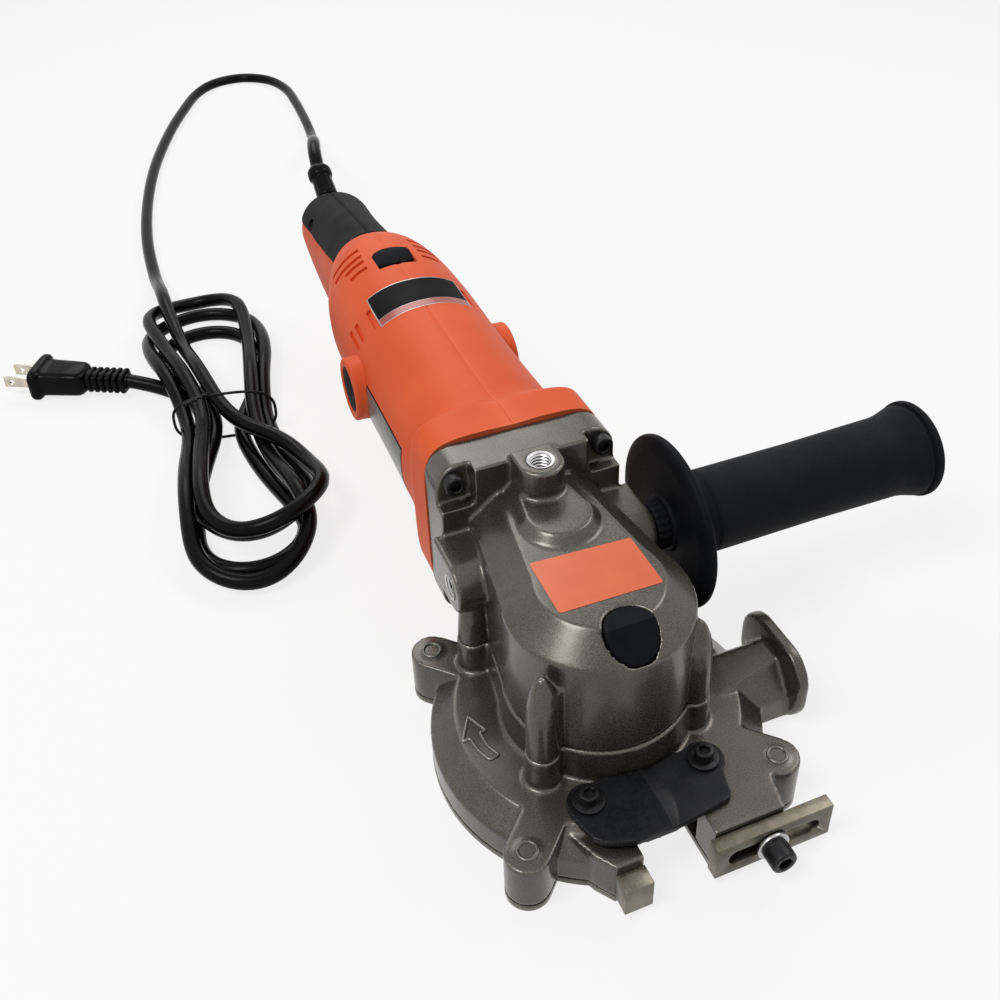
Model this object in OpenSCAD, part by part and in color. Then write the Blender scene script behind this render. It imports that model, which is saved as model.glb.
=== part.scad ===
// Portable bar saw: a flat blade case under a right-angle gear head, an electric motor body and a tail handle.
// The origin is where the spindle axis meets the base. X is towards the side handle, Y towards the tail, Z up.

/* [Blade and base] */
// Diameter of the saw blade
blade_d = 110; // [106:1:112]
// Thickness of the saw blade
blade_t = 1.8; // [1.4:0.1:2]
// Number of teeth on the saw blade
blade_teeth = 36; // [24:2:48]
// Outer radius of the blade case
case_r = 65; // [64:0.5:66]
// Height of the upright wall of the blade case
case_wall_top = 14.3; // [13:0.1:15.5]
// Radius of the flat top of the blade case
case_top_r = 55.8; // [55:0.1:57]
// Height of the flat top of the blade case
case_top = 22.5; // [22:0.1:23]
// Thickness of the base cover
cover_t = 2.5; // [2:0.1:2.6]
// Distance from the spindle to each lug
lug_ring_r = 71; // [70:0.5:72]
// Radius of each lug
lug_r = 8.5; // [8:0.1:9]

/* [Mouth and stop] */
// Left side of the mouth that takes the bar
mouth_left = -13.3; // [-14:0.1:-12]
// Right side of the mouth in the case
mouth_right = 12.8; // [12:0.1:14]
// Front face of the right-hand platform
platform_front = -69.6; // [-70:0.1:-69]
// Left end of the stop bar at rest
stop_left = 10.6; // [9:0.1:12]
// Length of the stop bar
stop_len = 47.5; // [44:0.5:50]
// Height of the stop bar
stop_h = 16.3; // [14:0.1:17]
// Thickness of the stop bar
stop_t = 5.1; // [4:0.1:6]

/* [Gear head] */
// Height where the gear case meets the blade case
parting_z = 37; // [36.5:0.1:37.5]
// Radius of the gear case tower
tower_r = 35.6; // [35:0.1:36]
// Height where the tower starts to slope in
tower_wall_top = 77.5; // [77:0.1:78.5]
// Radius of the flat top of the tower
tower_top_r = 23.9; // [23:0.1:25]
// Height of the flat top of the tower
tower_top = 87.3; // [87:0.1:88]
// Width and height of the motor flange
flange_w = 77; // [76:0.5:78]
// Distance between flange screws
flange_pitch = 63.2; // [62:0.1:64]

/* [Motor and handles] */
// Height of the motor axis
motor_z = 62.5; // [62:0.1:63]
// Height of the countershaft above the motor axis
shaft_rise = 13; // [13:0.1:13.2]
// Distance along the body to the carbon brushes
brush_y = 190; // [189:0.5:191]
// Radius of the hand guard
guard_r = 37.1; // [34:0.1:37.2]
// Length of the side handle grip
grip_len = 121; // [110:1:130]
// Radius of the side handle grip
grip_r = 17.6; // [16:0.1:19]

/* [Moving fits] */
// Radial clearance of a running shaft
run_gap = 0.05; // [0.02:0.01:0.1]
// Travel of the lock button
lock_travel = 4; // [3.6:0.1:4]
// Travel of the switch knob
switch_travel = 6; // [4:0.5:6]

/* [Cord] */
// Diameter of the power cord
cord_d = 8.2; // [7.6:0.1:8.4]

/* [Hidden] */
$fn = 64;
cut = 0.5;

casting = "#7d766a";
steel = "#b9bcc0";
dark_steel = "#2b2b2d";
zinc = "#b39b6c";
orange = "#e8623a";
black_plastic = "#1b1c1e";
grip_grey = "#35363a";
copper = "#b8692f";
brass = "#c6a24a";
board = "#c9a877";

// Places on the blade case
lug_angles = [45, 135, 225, 315];
case_front_z = 20;
chamber_r = 58.5;
chamber_top = 16;
pillar_places = [[29.5, -22], [-33, -24], [36, 38], [-36, 38]];
pillar_r = 6;
throat_y = -48;
mouth_mid = (mouth_left + mouth_right) / 2;
mouth_half = (mouth_right - mouth_left) / 2;
jaw_front = -66.8;
jaw_left = -24.2;
flap_screw_x = 23.2;
flap_screw_y = -42.2;
flap_t = 3;
stop_bolt_x = 33;
stop_z = 3.8;
stop_y = platform_front - 0.3 - stop_t;
stop_mid_z = stop_z + stop_h / 2;
duct_y = -7.7;
duct_foot = 2.8;
duct_shoulder = 15.5;
duct_roof = 28;
duct_end = 79;
rim_z = 18.2;

// Screw sizes: M5 for the castings, M6 for the stop
m5_r = 2.5;
m5_hole = 2.55;
m5_clear = 2.75;
m5_head_r = 4.25;
m5_head_h = 5;
m6_r = 3;

// Spindle stack from the base up
flange_plate_r = 18;
blade_z = 7.2;
blade_top = blade_z + blade_t;
hub_z = blade_top + 4;
spindle_r = 7.5;
spindle_nose_r = 4.5;
bearing_z = 26;
bearing_r = 17.5;
seal_r = 12;
spindle_top = 83;
bush_r = 7;

// Gears: straight-cut spur pair from the motor, bevel pair to the spindle
spur_module = 1;
motor_teeth = 8;
counter_teeth = 18;
counter_z = motor_z + shaft_rise;
bevel_module = 1.25;
pinion_teeth = 9;
wheel_teeth = 31;
wheel_angle = atan(wheel_teeth / pinion_teeth);
cone_len = bevel_module / 2 * sqrt(pow(pinion_teeth, 2) + pow(wheel_teeth, 2));
cone_inner = cone_len - 6.5;
bevel_pitch = PI * bevel_module;
bevel_tip = 1.1;
bevel_root = 1.5;
gear_y = 45;
gear_w = 9;
lock_ring_r = 25;
lock_disc_r = 28.7;
lock_disc_top = 63;
lock_disc_t = 3;

// Lock button in its pocket on the tower
button_y = -lock_ring_r;
pocket_r = 10;
pocket_floor = 77;
pocket_deep = 71.5;
button_r = 9.6;
button_foot = pocket_floor + lock_travel + 1.4;
button_deep = pocket_deep + lock_travel + 1.5;
lock_pin_r = 2.25;
lock_pin_end = lock_disc_top + 1.2;

// Motor places along the body
handle_y = 42.6;
handle_z = 62.4;
handle_face = 42.7;
bump_y = 35.2;
neck_turn = 7.8;
boss_y = 52.3;
boss_top = 103.9;
thread_r = 4.25;
flange_front = 60;
flange_back = 80;
seat_y = 66;
plate_front = 62;
plate_back = 74;
recess_r = 31;
front_bearing_y = 64.5;
stator_r = 33.4;
stator_y = 104;
stator_len = 48;
rotor_r = 18.6;
rear_bearing_y = brush_y + 15;
knob_y = 231;
knob_len = 19;
knob_w = 20;
hood_z = 101.8;

// Outer shape of the motor body: distance along Y, half width, top, bottom, squareness, wall,
// then for the tail the height where it is widest and the squareness below that height
body = [
  [80, 39, 103, 23.5, 6, 3.6],
  [97, 39, 103, 23.5, 6, 3.6],
  [100, 38.4, 102, 24.2, 4.4, 3.4],
  [104, 37.6, 100.5, 25, 2.6, 3.2],
  [112, 37.2, 100.1, 25.1, 2.3, 3.2],
  [160, 36.6, 99.9, 25.5, 2.2, 3.2],
  [200, 36.8, 100.6, 26, 2.2, 3.2],
  [222, 36.2, hood_z, 27, 2.2, 3.2],
  [242, 35.2, hood_z, 28.5, 2.2, 3.2],
  [255, 33.4, 101.5, 30.6, 2.2, 3.2],
  [268, 30.2, 100.2, 33.4, 2.2, 3.2],
  [279, 26.6, 97, 36.2, 2.2, 3.2],
  [285, 24.4, 94.3, 37.4, 2.2, 3.2],
  [287, 23.6, 93.6, 37.6, 2.1, 3.2, 52, 2.4],
  [310, 22.8, 90.4, 38.4, 2.1, 3, 51, 2.4],
  [328, 22.2, 88, 41.4, 2.1, 3, 51.5, 2.4],
  [344, 21.8, 85.6, 46.6, 2.1, 3, 54, 2.4],
  [357, 21.6, 83.6, 52, 2.1, 3, 57.5, 2.4],
  [366, 21.2, 82.2, 56, 2.1, 3, 60.5, 2.4],
  [371, 19.9, 81.3, 58, 2.1, 3, 62.5, 2.3],
  [374, 17.2, 80.3, 60, 2.1, 3, 65, 2.2],
  [375.6, 13.6, 79.3, 62.4, 2, 2.6, 68, 2],
  [376.2, 10.4, 78.4, 64.2, 2, 2.4, 70, 2]
];
seam_gap = 0.05;
arc_steps = 18;
pad_start = 286;
pad_angle = 25;
pad_depth = 1.8;
pad_proud = 0.4;
pad_first = 13;
housing_screw_places = [[212, 35, 22], [262, 46, 18], [300, 54, 17], [352, 73, 11.4]];

// Cord route on the floor behind the tail, chosen by eye
boot_foot = [0, 361.5, 64.2];
boot_tilt = 30;
boot_len = 44.5;
cord_r = cord_d / 2;
cord_route = [
  [0, 399.6, 86.2], [1.8, 412.5, 91.6], [5.6, 430.5, 91], [11.4, 459, 80], [21.6, 511, 57], [33, 567, 35],
  [43.3, 618.6, 15], [50.4, 654, 5], [54.5, 692, 4.4], [57.5, 741, 4.4], [57.5, 782, 4.4], [48, 813, 4.4],
  [27, 830, 4.4], [1, 827, 4.4], [-20, 806, 4.4], [-39, 767, 4.4], [-59, 717, 4.4], [-80, 651, 4.4],
  [-95, 584, 4.4], [-104, 522, 4.4], [-107, 468, 6], [-107, 432, 11], [-107, 400, 16]
];
tail_route = [[-109, 300, 5], [-117, 313, 5], [-128, 322, 6.5], [-140, 329, 9.5]];
hank_top = [-91, 342];
hank_top_len = 66;
hank_foot = [-96, 192];
hank_foot_len = 50;
hank_r = 37;
hank_waist = [-95.5, 262];
hank_waist_w = 52;
hank_h = 24;
plug_tail = [-140, 329, 9.8];
plug_turn = 151;
plug_len = 55;

// Section of the body at one station: a rounded box, out by off
function signed_pow(v, e) = sign(v) * pow(abs(v), e);
function widest(s) = len(s) > 6 ? s[6] : (s[2] + s[3]) / 2;
function squareness(s, t) = t < 0 && len(s) > 6 ? s[7] : s[4];
function reach(s, t) = t > 0 ? s[2] - widest(s) : widest(s) - s[3];
function body_point(s, t, off) =
  [max(seam_gap, (s[1] + off) * signed_pow(cos(t), 2 / squareness(s, t))), s[0],
   widest(s) + (reach(s, t) + off) * signed_pow(sin(t), 2 / squareness(s, t))];
function arc_angle(i) = -90 + 180 * i / arc_steps;
function pad_drop(s, t) = s[0] > pad_start && t > pad_angle ? -pad_depth : 0;

// One closed skin through a list of equal rings, with a flat cap at each end
function skin_sides(n, last) = [for (k = [0:last - 1], i = [0:n - 1])
  let (a = k * n + i, b = k * n + (i + 1) % n)
  each [[a, b, b + n], [a, b + n, a + n]]];
module skin(rings) {
  n = len(rings[0]);
  last = len(rings) - 1;
  start_cap = [[for (i = [n - 1:-1:0]) i]];
  end_cap = [[for (i = [0:n - 1]) last * n + i]];
  polyhedron([for (ring = rings) each ring], concat(skin_sides(n, last), start_cap, end_cap), convexity = 6);
}
// The same for rings that run out along one face and back along the other
module shell_skin(rings) {
  n = len(rings[0]);
  last = len(rings) - 1;
  start_cap = [for (i = [0:n / 2 - 2]) each [[i + 1, i, n - 1 - i], [i + 1, n - 1 - i, n - 2 - i]]];
  end_cap = [for (i = [0:n / 2 - 2]) let (e = last * n)
    each [[e + i, e + i + 1, e + n - 1 - i], [e + i + 1, e + n - 2 - i, e + n - 1 - i]]];
  polyhedron([for (ring = rings) each ring], concat(skin_sides(n, last), start_cap, end_cap), convexity = 6);
}

// Smooth curve through the points of a route
function pick(route, i) = route[min(max(i, 0), len(route) - 1)];
function curve_at(route, i, u) =
  let (a = pick(route, i - 1), b = pick(route, i), c = pick(route, i + 1), d = pick(route, i + 2))
  0.5 * (2 * b + (c - a) * u + (2 * a - 5 * b + 4 * c - d) * u * u + (3 * b - a - 3 * c + d) * u * u * u);
function smooth_route(route, steps) = concat(
  [for (i = [0:len(route) - 2], k = [0:steps - 1]) curve_at(route, i, k / steps)],
  [route[len(route) - 1]]);
function unit(v) = v / norm(v);
module cord_tube(route, r, sides) {
  path = smooth_route(route, 3);
  last = len(path) - 1;
  skin([for (i = [0:last])
    let (along = unit(path[min(i + 1, last)] - path[max(i - 1, 0)]),
         across = unit(cross(along, [0, 0, 1])), up = cross(across, along))
    [for (k = [0:sides - 1]) path[i] + r * (across * cos(360 * k / sides) - up * sin(360 * k / sides))]]);
}

module along_y(y0, y1) {
  translate([0, y1, 0]) rotate([90, 0, 0]) linear_extrude(y1 - y0) children();
}
module along_x(x0, x1) {
  translate([x0, 0, 0]) rotate([90, 0, 90]) linear_extrude(x1 - x0) children();
}
module rod_y(r, y0, y1, z) {
  translate([0, y0, z]) rotate([-90, 0, 0]) cylinder(r = r, h = y1 - y0);
}
module rod_x(r, x0, x1, y, z) {
  translate([x0, y, z]) rotate([0, 90, 0]) cylinder(r = r, h = x1 - x0);
}
module both_sides() {
  children();
  mirror([1, 0, 0]) children();
}
module rounded_square(w, h, r) {
  square([w - 2 * r, h], center = true);
  square([w, h - 2 * r], center = true);
  for (sx = [-1, 1], sy = [-1, 1]) translate([sx * (w / 2 - r), sy * (h / 2 - r)]) circle(r);
}
module stadium(length, r) {
  square([length, 2 * r], center = true);
  for (s = [-1, 1]) translate([s * length / 2, 0]) circle(r);
}
module at_lugs() {
  for (a = lug_angles) rotate(a) translate([lug_ring_r, 0, 0]) children();
}
module at_pillars() {
  for (p = pillar_places) translate([p[0], p[1], 0]) children();
}
module at_flange_screws() {
  for (sx = [-1, 1], sz = [-1, 1])
    translate([sx * flange_pitch / 2, 0, motor_z + sz * flange_pitch / 2]) children();
}

// Socket-head screw with its seat at the origin and its shank down the Z axis
module socket_screw(r, length, head_r, head_h) {
  difference() {
    union() {
      cylinder(r = head_r, h = head_h);
      translate([0, 0, -length]) cylinder(r = r, h = length + cut);
    }
    translate([0, 0, head_h * 0.45]) cylinder(r = head_r * 0.56, h = head_h, $fn = 6);
  }
}
module ring(outer, inner, h) {
  difference() {
    cylinder(r = outer, h = h);
    translate([0, 0, -cut]) cylinder(r = inner, h = h + 2 * cut);
  }
}

// Ball bearing: two races with a sunk shield between them
module bearing(outer, inner, h) {
  shield = (outer - inner) * 0.28;
  rotate_extrude() polygon([
    [inner, 0], [inner + shield, 0], [inner + shield, 0.5], [outer - shield, 0.5], [outer - shield, 0],
    [outer, 0], [outer, h], [outer - shield, h], [outer - shield, h - 0.5], [inner + shield, h - 0.5],
    [inner + shield, h], [inner, h]]);
}

// Spur gear outline with straight-sided teeth
module spur_outline(teeth, tip, root) {
  pitch_r = teeth * spur_module / 2;
  step = 360 / teeth;
  polygon([for (i = [0:teeth - 1], p = [[root, -0.3], [tip, -0.11], [tip, 0.11], [root, 0.3]])
    let (a = step * i + p[1] * step * (p[0] > 0 ? pitch_r / (pitch_r + p[0]) : 1))
    (pitch_r + p[0]) * [cos(a), sin(a)]]);
}

// Bevel teeth on a cone of half angle a, apex at the origin, opening along +Z
function cone_point(s, a, rise, side) =
  let (k = s / cone_len)
  s * [sin(a), 0, cos(a)] + rise * k * [cos(a), 0, -sin(a)] + side * k * [0, 1, 0];
module bevel_teeth(teeth, a, start) {
  low = -bevel_root - 0.4;
  wide = bevel_pitch * 0.29;
  thin = bevel_pitch * 0.09;
  rings = [for (s = [cone_inner, cone_len])
    [cone_point(s, a, low, -wide), cone_point(s, a, low, wide),
     cone_point(s, a, bevel_tip, thin), cone_point(s, a, bevel_tip, -thin)]];
  for (i = [0:teeth - 1]) rotate(start + 360 * i / teeth) skin(rings);
}

// Outline of the blade case seen from above
module case_arms() {
  for (a = lug_angles) rotate(a) {
    translate([lug_ring_r, 0]) circle(lug_r);
    translate([44, -lug_r]) square([lug_ring_r - 44, 2 * lug_r]);
  }
  polygon([[mouth_right - 4, -45], [mouth_right - 4, platform_front], [41, platform_front], [44, -55], [50, -40]]);
}
module jaw_outline() {
  polygon([[-34, -48], [-29, -60], [jaw_left, jaw_front], [mouth_left + 4, jaw_front], [mouth_left + 4, -48]]);
}
module mouth_outline() {
  translate([mouth_left, -90]) square([2 * mouth_half, 90 + throat_y]);
  translate([mouth_mid, throat_y]) circle(mouth_half);
}
module case_outline() {
  difference() {
    union() {
      circle(case_r);
      case_arms();
      jaw_outline();
    }
    mouth_outline();
  }
}
module duct_outline(inset) {
  w = 15.3 - inset;
  t = 5.3 - inset * 0.35;
  translate([duct_y, 0]) polygon([
    [-w, duct_foot + inset], [w, duct_foot + inset], [w, duct_shoulder],
    [t, duct_roof - inset], [-t, duct_roof - inset], [-w, duct_shoulder]]);
}
module duct_ramp(inset) {
  translate([0, 40, 0]) rotate([90, 0, 0]) linear_extrude(100) polygon([
    [38, 0], [duct_end + 2, 0], [duct_end + 2, duct_roof + 0.9 - inset],
    [44, case_top - inset], [38, case_top - inset]]);
}
module duct_rim(x0, x1, grow) {
  along_x(x0, x1) translate([duct_y, rim_z]) rounded_square(40.6 + grow, 32.6 + grow, 12.5 + grow / 2);
}

// Base cover and blade case
module base_cover() color(steel) difference() {
  linear_extrude(cover_t) case_outline();
  translate([0, 0, -cut]) cylinder(r = 22, h = cover_t + 1);
  at_lugs() {
    translate([0, 0, -cut]) cylinder(r = m5_clear, h = cover_t + 1);
    translate([0, 0, -0.01]) cylinder(r1 = 5.1, r2 = m5_clear, h = 2.36);
  }
}
module base_cover_screws() color(dark_steel) at_lugs() difference() {
  union() {
    translate([0, 0, 0.3]) cylinder(r1 = 4.7, r2 = m5_r, h = 2.2);
    translate([0, 0, 0.5]) cylinder(r = m5_r, h = 16);
  }
  translate([0, 0, -1]) cylinder(r = 1.7, h = 3, $fn = 6);
}
module case_shell() {
  translate([0, 0, cover_t]) cylinder(r = case_r, h = case_wall_top - cover_t);
  translate([0, 0, case_wall_top]) cylinder(r1 = case_r, r2 = case_top_r, h = case_top - case_wall_top);
  translate([0, 0, cover_t]) linear_extrude(case_top - cover_t) case_arms();
  translate([0, 0, cover_t]) linear_extrude(case_front_z - cover_t) jaw_outline();
  at_lugs() translate([0, 0, case_top - cut]) cylinder(r = 4.4, h = cut + 0.5);
}
module tower_foot() {
  foot_h = parting_z - case_top + cut;
  translate([0, 0, case_top - cut]) cylinder(r1 = tower_r + 1.8, r2 = tower_r + 1, h = foot_h);
  at_pillars() translate([0, 0, case_top - cut]) cylinder(r = pillar_r + 0.6, h = foot_h);
  translate([0, 0, case_top - cut]) linear_extrude(foot_h) polygon([
    [-36.4, 0], [36.4, 0], [30.6, 43], [-30.6, 43]]);
}
module chip_duct() {
  intersection() {
    along_x(40, duct_end - 3) duct_outline(0);
    duct_ramp(0);
  }
  duct_rim(duct_end - 5.2, duct_end, 0);
  duct_rim(duct_end - 4.4, duct_end - 0.8, 1.4);
}
module duct_passage() {
  intersection() {
    along_x(52, duct_end + 1) duct_outline(3.4);
    duct_ramp(3.4);
  }
}
module blade_case() color(casting) difference() {
  union() {
    case_shell();
    tower_foot();
    chip_duct();
  }
  translate([0, 0, -cut]) linear_extrude(case_top + 1) mouth_outline();
  translate([0, 0, -cut]) cylinder(r = chamber_r, h = chamber_top + cut);
  duct_passage();
  translate([0, 0, chamber_top - cut]) cylinder(r = 10.5, h = 30);
  translate([0, 0, bearing_z - 6]) cylinder(r = seal_r, h = 20);
  translate([0, 0, bearing_z]) cylinder(r = bearing_r, h = 20);
  at_lugs() translate([0, 0, -cut]) cylinder(r = m5_hole, h = 18 + cut);
  at_pillars() {
    translate([0, 0, chamber_top - cut]) cylinder(r = m5_clear, h = 30);
    translate([0, 0, chamber_top - cut]) cylinder(r = 4.7, h = m5_head_h + cut);
  }
  both_sides() translate([flap_screw_x, flap_screw_y, case_top - 5]) cylinder(r = 2.05, h = 10);
  rod_y_at(stop_bolt_x, stop_mid_z, m6_r + 0.05, platform_front - 1, platform_front + 9);
  rod_y_at(jaw_mid, stop_mid_z, 3.05, jaw_front - 1, jaw_front + 6);
}
jaw_mid = (jaw_left + mouth_left) / 2;
module rod_y_at(x, z, r, y0, y1) {
  translate([x, 0, 0]) rod_y(r, y0, y1, z);
}
module case_screws() color(dark_steel) at_pillars()
  translate([0, 0, chamber_top + m5_head_h]) mirror([0, 0, 1]) socket_screw(m5_r, 28, m5_head_r, m5_head_h - 0.3);

// Fixed stop, flap and sliding stop at the mouth
module fixed_stop() color(zinc) {
  translate([jaw_left, jaw_front - 7.4, stop_z - 1]) cube([mouth_left - jaw_left, 7.4, stop_h - 3.4]);
  rod_y_at(jaw_mid, stop_mid_z, 3, jaw_front - 1, jaw_front + 5);
}
module flap_outline() {
  polygon([[-31.2, -44], [-29.8, -51], [-28.2, -55.8], [-26, -58.6], [-23, -60.4],
           [-14.5, -63.4], [-1, -63.8], [21.6, -61], [23.8, -60.4], [25.2, -58.6],
           [26.2, -54], [28.6, -46], [26, -35.6], [-26, -35.2]]);
}
module chip_flap() color(black_plastic) difference() {
  union() {
    translate([0, 0, case_top]) linear_extrude(flap_t) flap_outline();
    both_sides() translate([flap_screw_x, flap_screw_y, case_top]) cylinder(r = 8, h = flap_t);
  }
  translate([0, 0, case_top - cut]) cylinder(r = tower_r + 2.2, h = flap_t + 1);
  both_sides() translate([flap_screw_x, flap_screw_y, case_top - cut]) cylinder(r = 2.2, h = flap_t + 1);
}
module flap_washers() color(dark_steel) both_sides()
  translate([flap_screw_x, flap_screw_y, case_top + flap_t]) ring(6, 2.2, 1.1);
module flap_screws() color(dark_steel) both_sides()
  translate([flap_screw_x, flap_screw_y, case_top + flap_t + 1.1]) socket_screw(2, 8, 3.6, 4);
module stop_bar() color(zinc) difference() {
  translate([stop_left, stop_y, stop_z]) cube([stop_len, stop_t, stop_h]);
  translate([stop_left + stop_len / 2, stop_y - cut, stop_mid_z]) rotate([-90, 0, 0])
    linear_extrude(stop_t + 1) stadium(stop_len - 17, m6_r + 0.4);
}
module stop_washer() color(steel) translate([stop_bolt_x, stop_y - 0.3, stop_mid_z])
  rotate([90, 0, 0]) ring(6.4, m6_r + 0.1, 1.4);
module stop_bolt() color(dark_steel) translate([stop_bolt_x, stop_y - 1.7, stop_mid_z])
  rotate([90, 0, 0]) socket_screw(m6_r, 14, 5, 7.4);

// Gear case
module tower_solid() {
  translate([0, 0, parting_z]) cylinder(r = tower_r, h = tower_wall_top - parting_z);
  translate([0, 0, tower_wall_top]) cylinder(r1 = tower_r, r2 = tower_top_r, h = tower_top - tower_wall_top);
}
module narrowing(y0, y1, mid) {
  intersection() {
    translate([0, mid, 0]) rotate(neck_turn) translate([0, -mid, 0]) along_y(y0, y1) children();
    translate([0, mid, 0]) rotate(-neck_turn) translate([0, -mid, 0]) along_y(y0, y1) children();
  }
}
module neck_outline() {
  low = tower_r - 0.6;
  high = tower_top_r - 0.6;
  polygon([[-low, parting_z], [low, parting_z], [low, tower_wall_top], [high, tower_top],
           [-high, tower_top], [-low, tower_wall_top]]);
}
module flange_outline() {
  translate([0, motor_z]) rounded_square(flange_w, flange_w, 11);
}
module top_bump() {
  translate([0, bump_y, tower_top - 1]) cylinder(r1 = 17.6, r2 = 12.6, h = 5);
  narrowing(bump_y, flange_front + 5, bump_y) polygon([[-17.3, tower_top - 1], [17.3, tower_top - 1],
    [12.3, tower_top + 4], [-12.3, tower_top + 4]]);
}
module top_boss() {
  translate([0, boss_y, tower_top]) cylinder(r = 9.3, h = boss_top - tower_top);
  translate([-9.3, boss_y, tower_top]) cube([18.6, flange_front + 2 - boss_y, boss_top - tower_top]);
}
module side_boss() {
  rod_x(10.5, -handle_face, -20, handle_y, handle_z);
  translate([-handle_face, handle_y, handle_z - 10.5]) cube([22, flange_front + 1 - handle_y, 21]);
}
module pillar_tops() {
  for (p = pillar_places) {
    h = p[1] < 0 ? 38 : 25;
    r = pillar_r;
    translate([p[0], p[1], parting_z]) rotate_extrude() polygon([[0, 0], [r + 0.2, 0], [r, h - 20],
      [r - 0.5, h - 13], [r - 1.6, h - 7], [r - 3.2, h - 2.4], [r - 5, h], [0, h]]);
  }
  left = pillar_places[1] * 0.89;
  translate([left[0], left[1], parting_z]) cylinder(r = pillar_r - 1, h = 30);
}
module gear_case_solid() {
  tower_solid();
  narrowing(0, flange_front + 8, 0) neck_outline();
  both_sides() translate([-36, 35, parting_z]) cube([10, 6, 22]);
  along_y(flange_front, flange_back) flange_outline();
  top_bump();
  top_boss();
  both_sides() side_boss();
  pillar_tops();
}
module flange_notch(x, z) {
  along_y(flange_front - 0.01, seat_y) translate([x * 39.2, motor_z + z * 36.5]) rounded_square(30, 30, 3);
}
module gear_case_hollow() {
  translate([0, 0, parting_z - 1]) cylinder(r = 30.5, h = 37);
  translate([0, 0, parting_z + 36]) cylinder(r1 = 30.5, r2 = 20, h = 10.3);
  rod_y(12.5, 38, plate_front, counter_z);
  rod_y(8, 40, plate_front, motor_z);
  rod_y(recess_r, plate_front, flange_back + 1, motor_z);
}
module front_round(r, back, z0, z1) {
  intersection() {
    translate([0, button_y, z0]) cylinder(r = r, h = z1 - z0);
    translate([-20, button_y - 20, z0 - 1]) cube([40, 20 + back, z1 - z0 + 2]);
  }
}
module lock_seat() {
  intersection() {
    union() {
      translate([0, button_y, pocket_floor - 3.5]) cylinder(r = 12.5, h = 14);
      front_round(12.5, 4.6, pocket_deep - 3.5, pocket_floor);
    }
    tower_solid();
  }
}
module gear_case() color(casting) difference() {
  union() {
    difference() {
      gear_case_solid();
      gear_case_hollow();
    }
    lock_seat();
    translate([0, 0, 74]) cylinder(r = 9.5, h = 12);
  }
  rod_y(8, 31, 39, counter_z);
  rod_y(7.6, 12, 39, counter_z);
  translate([0, 0, 73]) cylinder(r = bush_r, h = spindle_top - 73);
  translate([0, button_y, pocket_floor]) cylinder(r = pocket_r, h = 20);
  front_round(pocket_r, 3.2, pocket_deep, pocket_floor + 1);
  translate([0, button_y, pocket_deep - 5]) cylinder(r = lock_pin_r + 0.08, h = 10);
  translate([0, boss_y, boss_top - 12]) cylinder(r = thread_r, h = 14);
  both_sides() rod_x(thread_r, -handle_face - 1, -handle_face + 13, handle_y, handle_z);
  at_pillars() translate([0, 0, parting_z - 1]) cylinder(r = m5_hole, h = 15);
  at_flange_screws() rod_y(m5_clear, seat_y - 1, flange_back + 1, 0);
  for (x = [-1, 1], z = [-1, 1]) flange_notch(x, z);
}
module flange_screws() color(dark_steel) at_flange_screws()
  translate([0, seat_y, 0]) rotate([90, 0, 0]) socket_screw(m5_r, 28, m5_head_r, m5_head_h);
module gear_plate() color(casting) difference() {
  union() {
    rod_y(recess_r - 0.1, plate_front, plate_back, motor_z);
    rod_y(11, plate_front - 6.5, plate_front + 1, counter_z);
  }
  rod_y(16, front_bearing_y, plate_back + 1, motor_z);
  rod_y(6.5, plate_front - 8, plate_back, motor_z);
  rod_y(8, plate_front - 8, plate_front + 1, counter_z);
}

// Bearings of the gear train
module spindle_bearing() color(steel)
  translate([0, 0, bearing_z]) bearing(bearing_r, spindle_r + run_gap, parting_z - bearing_z);
module spindle_bush() color(brass)
  translate([0, 0, 74]) ring(bush_r, spindle_nose_r + run_gap, spindle_top - 74);
module spindle_seal() color(black_plastic)
  translate([0, 0, bearing_z - 6]) ring(seal_r, spindle_r + 0.3, 5.5);
module countershaft_bearings() color(steel) for (y = [31, plate_front - 5.5])
  translate([0, y, counter_z]) rotate([-90, 0, 0]) bearing(8, 4 + run_gap, 6.5);
module armature_front_bearing() color(steel)
  translate([0, front_bearing_y, motor_z]) rotate([-90, 0, 0]) bearing(16, 6 + run_gap, 9);
module armature_rear_bearing() color(steel)
  translate([0, rear_bearing_y, motor_z]) rotate([-90, 0, 0]) bearing(11, 4 + run_gap, 7);

// Motor body in two halves
module body_shell() {
  shell_skin([for (s = body) concat(
    [for (i = [0:arc_steps]) let (t = arc_angle(i)) body_point(s, t, pad_drop(s, t))],
    [for (i = [arc_steps:-1:0]) body_point(s, arc_angle(i), -s[5])])]);
}
module body_bosses() {
  difference() {
    rod_x(15.5, 29, 41.7, brush_y, motor_z);
    rod_y(32, 165, 215, motor_z);
  }
  for (sz = [-1, 1]) translate([flange_pitch / 2, 0, motor_z + sz * flange_pitch / 2])
    rod_y(4.8, flange_back, 97, 0);
  for (p = housing_screw_places) rod_x(4.6, seam_gap, p[2], p[0], p[1]);
  difference() {
    union() {
      rod_y(14.5, rear_bearing_y - 1, rear_bearing_y + 8, motor_z);
      translate([0, rear_bearing_y - 1, motor_z - 2.5]) cube([34, 9, 5]);
      for (sz = [-1, 1]) translate([0, rear_bearing_y + 3.5, motor_z + sz * 23]) cube([4, 9, 24], center = true);
    }
    translate([seam_gap - 50, rear_bearing_y - 5, 0]) cube([50, 20, 120]);
  }
}
module knob_opening(inset) {
  intersection() {
    translate([-knob_w / 2 + inset, knob_y + inset]) square([knob_w - 2 * inset, knob_len - 2 * inset]);
    translate([0, knob_y + 6]) circle(knob_len - 6 - inset);
  }
}
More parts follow.
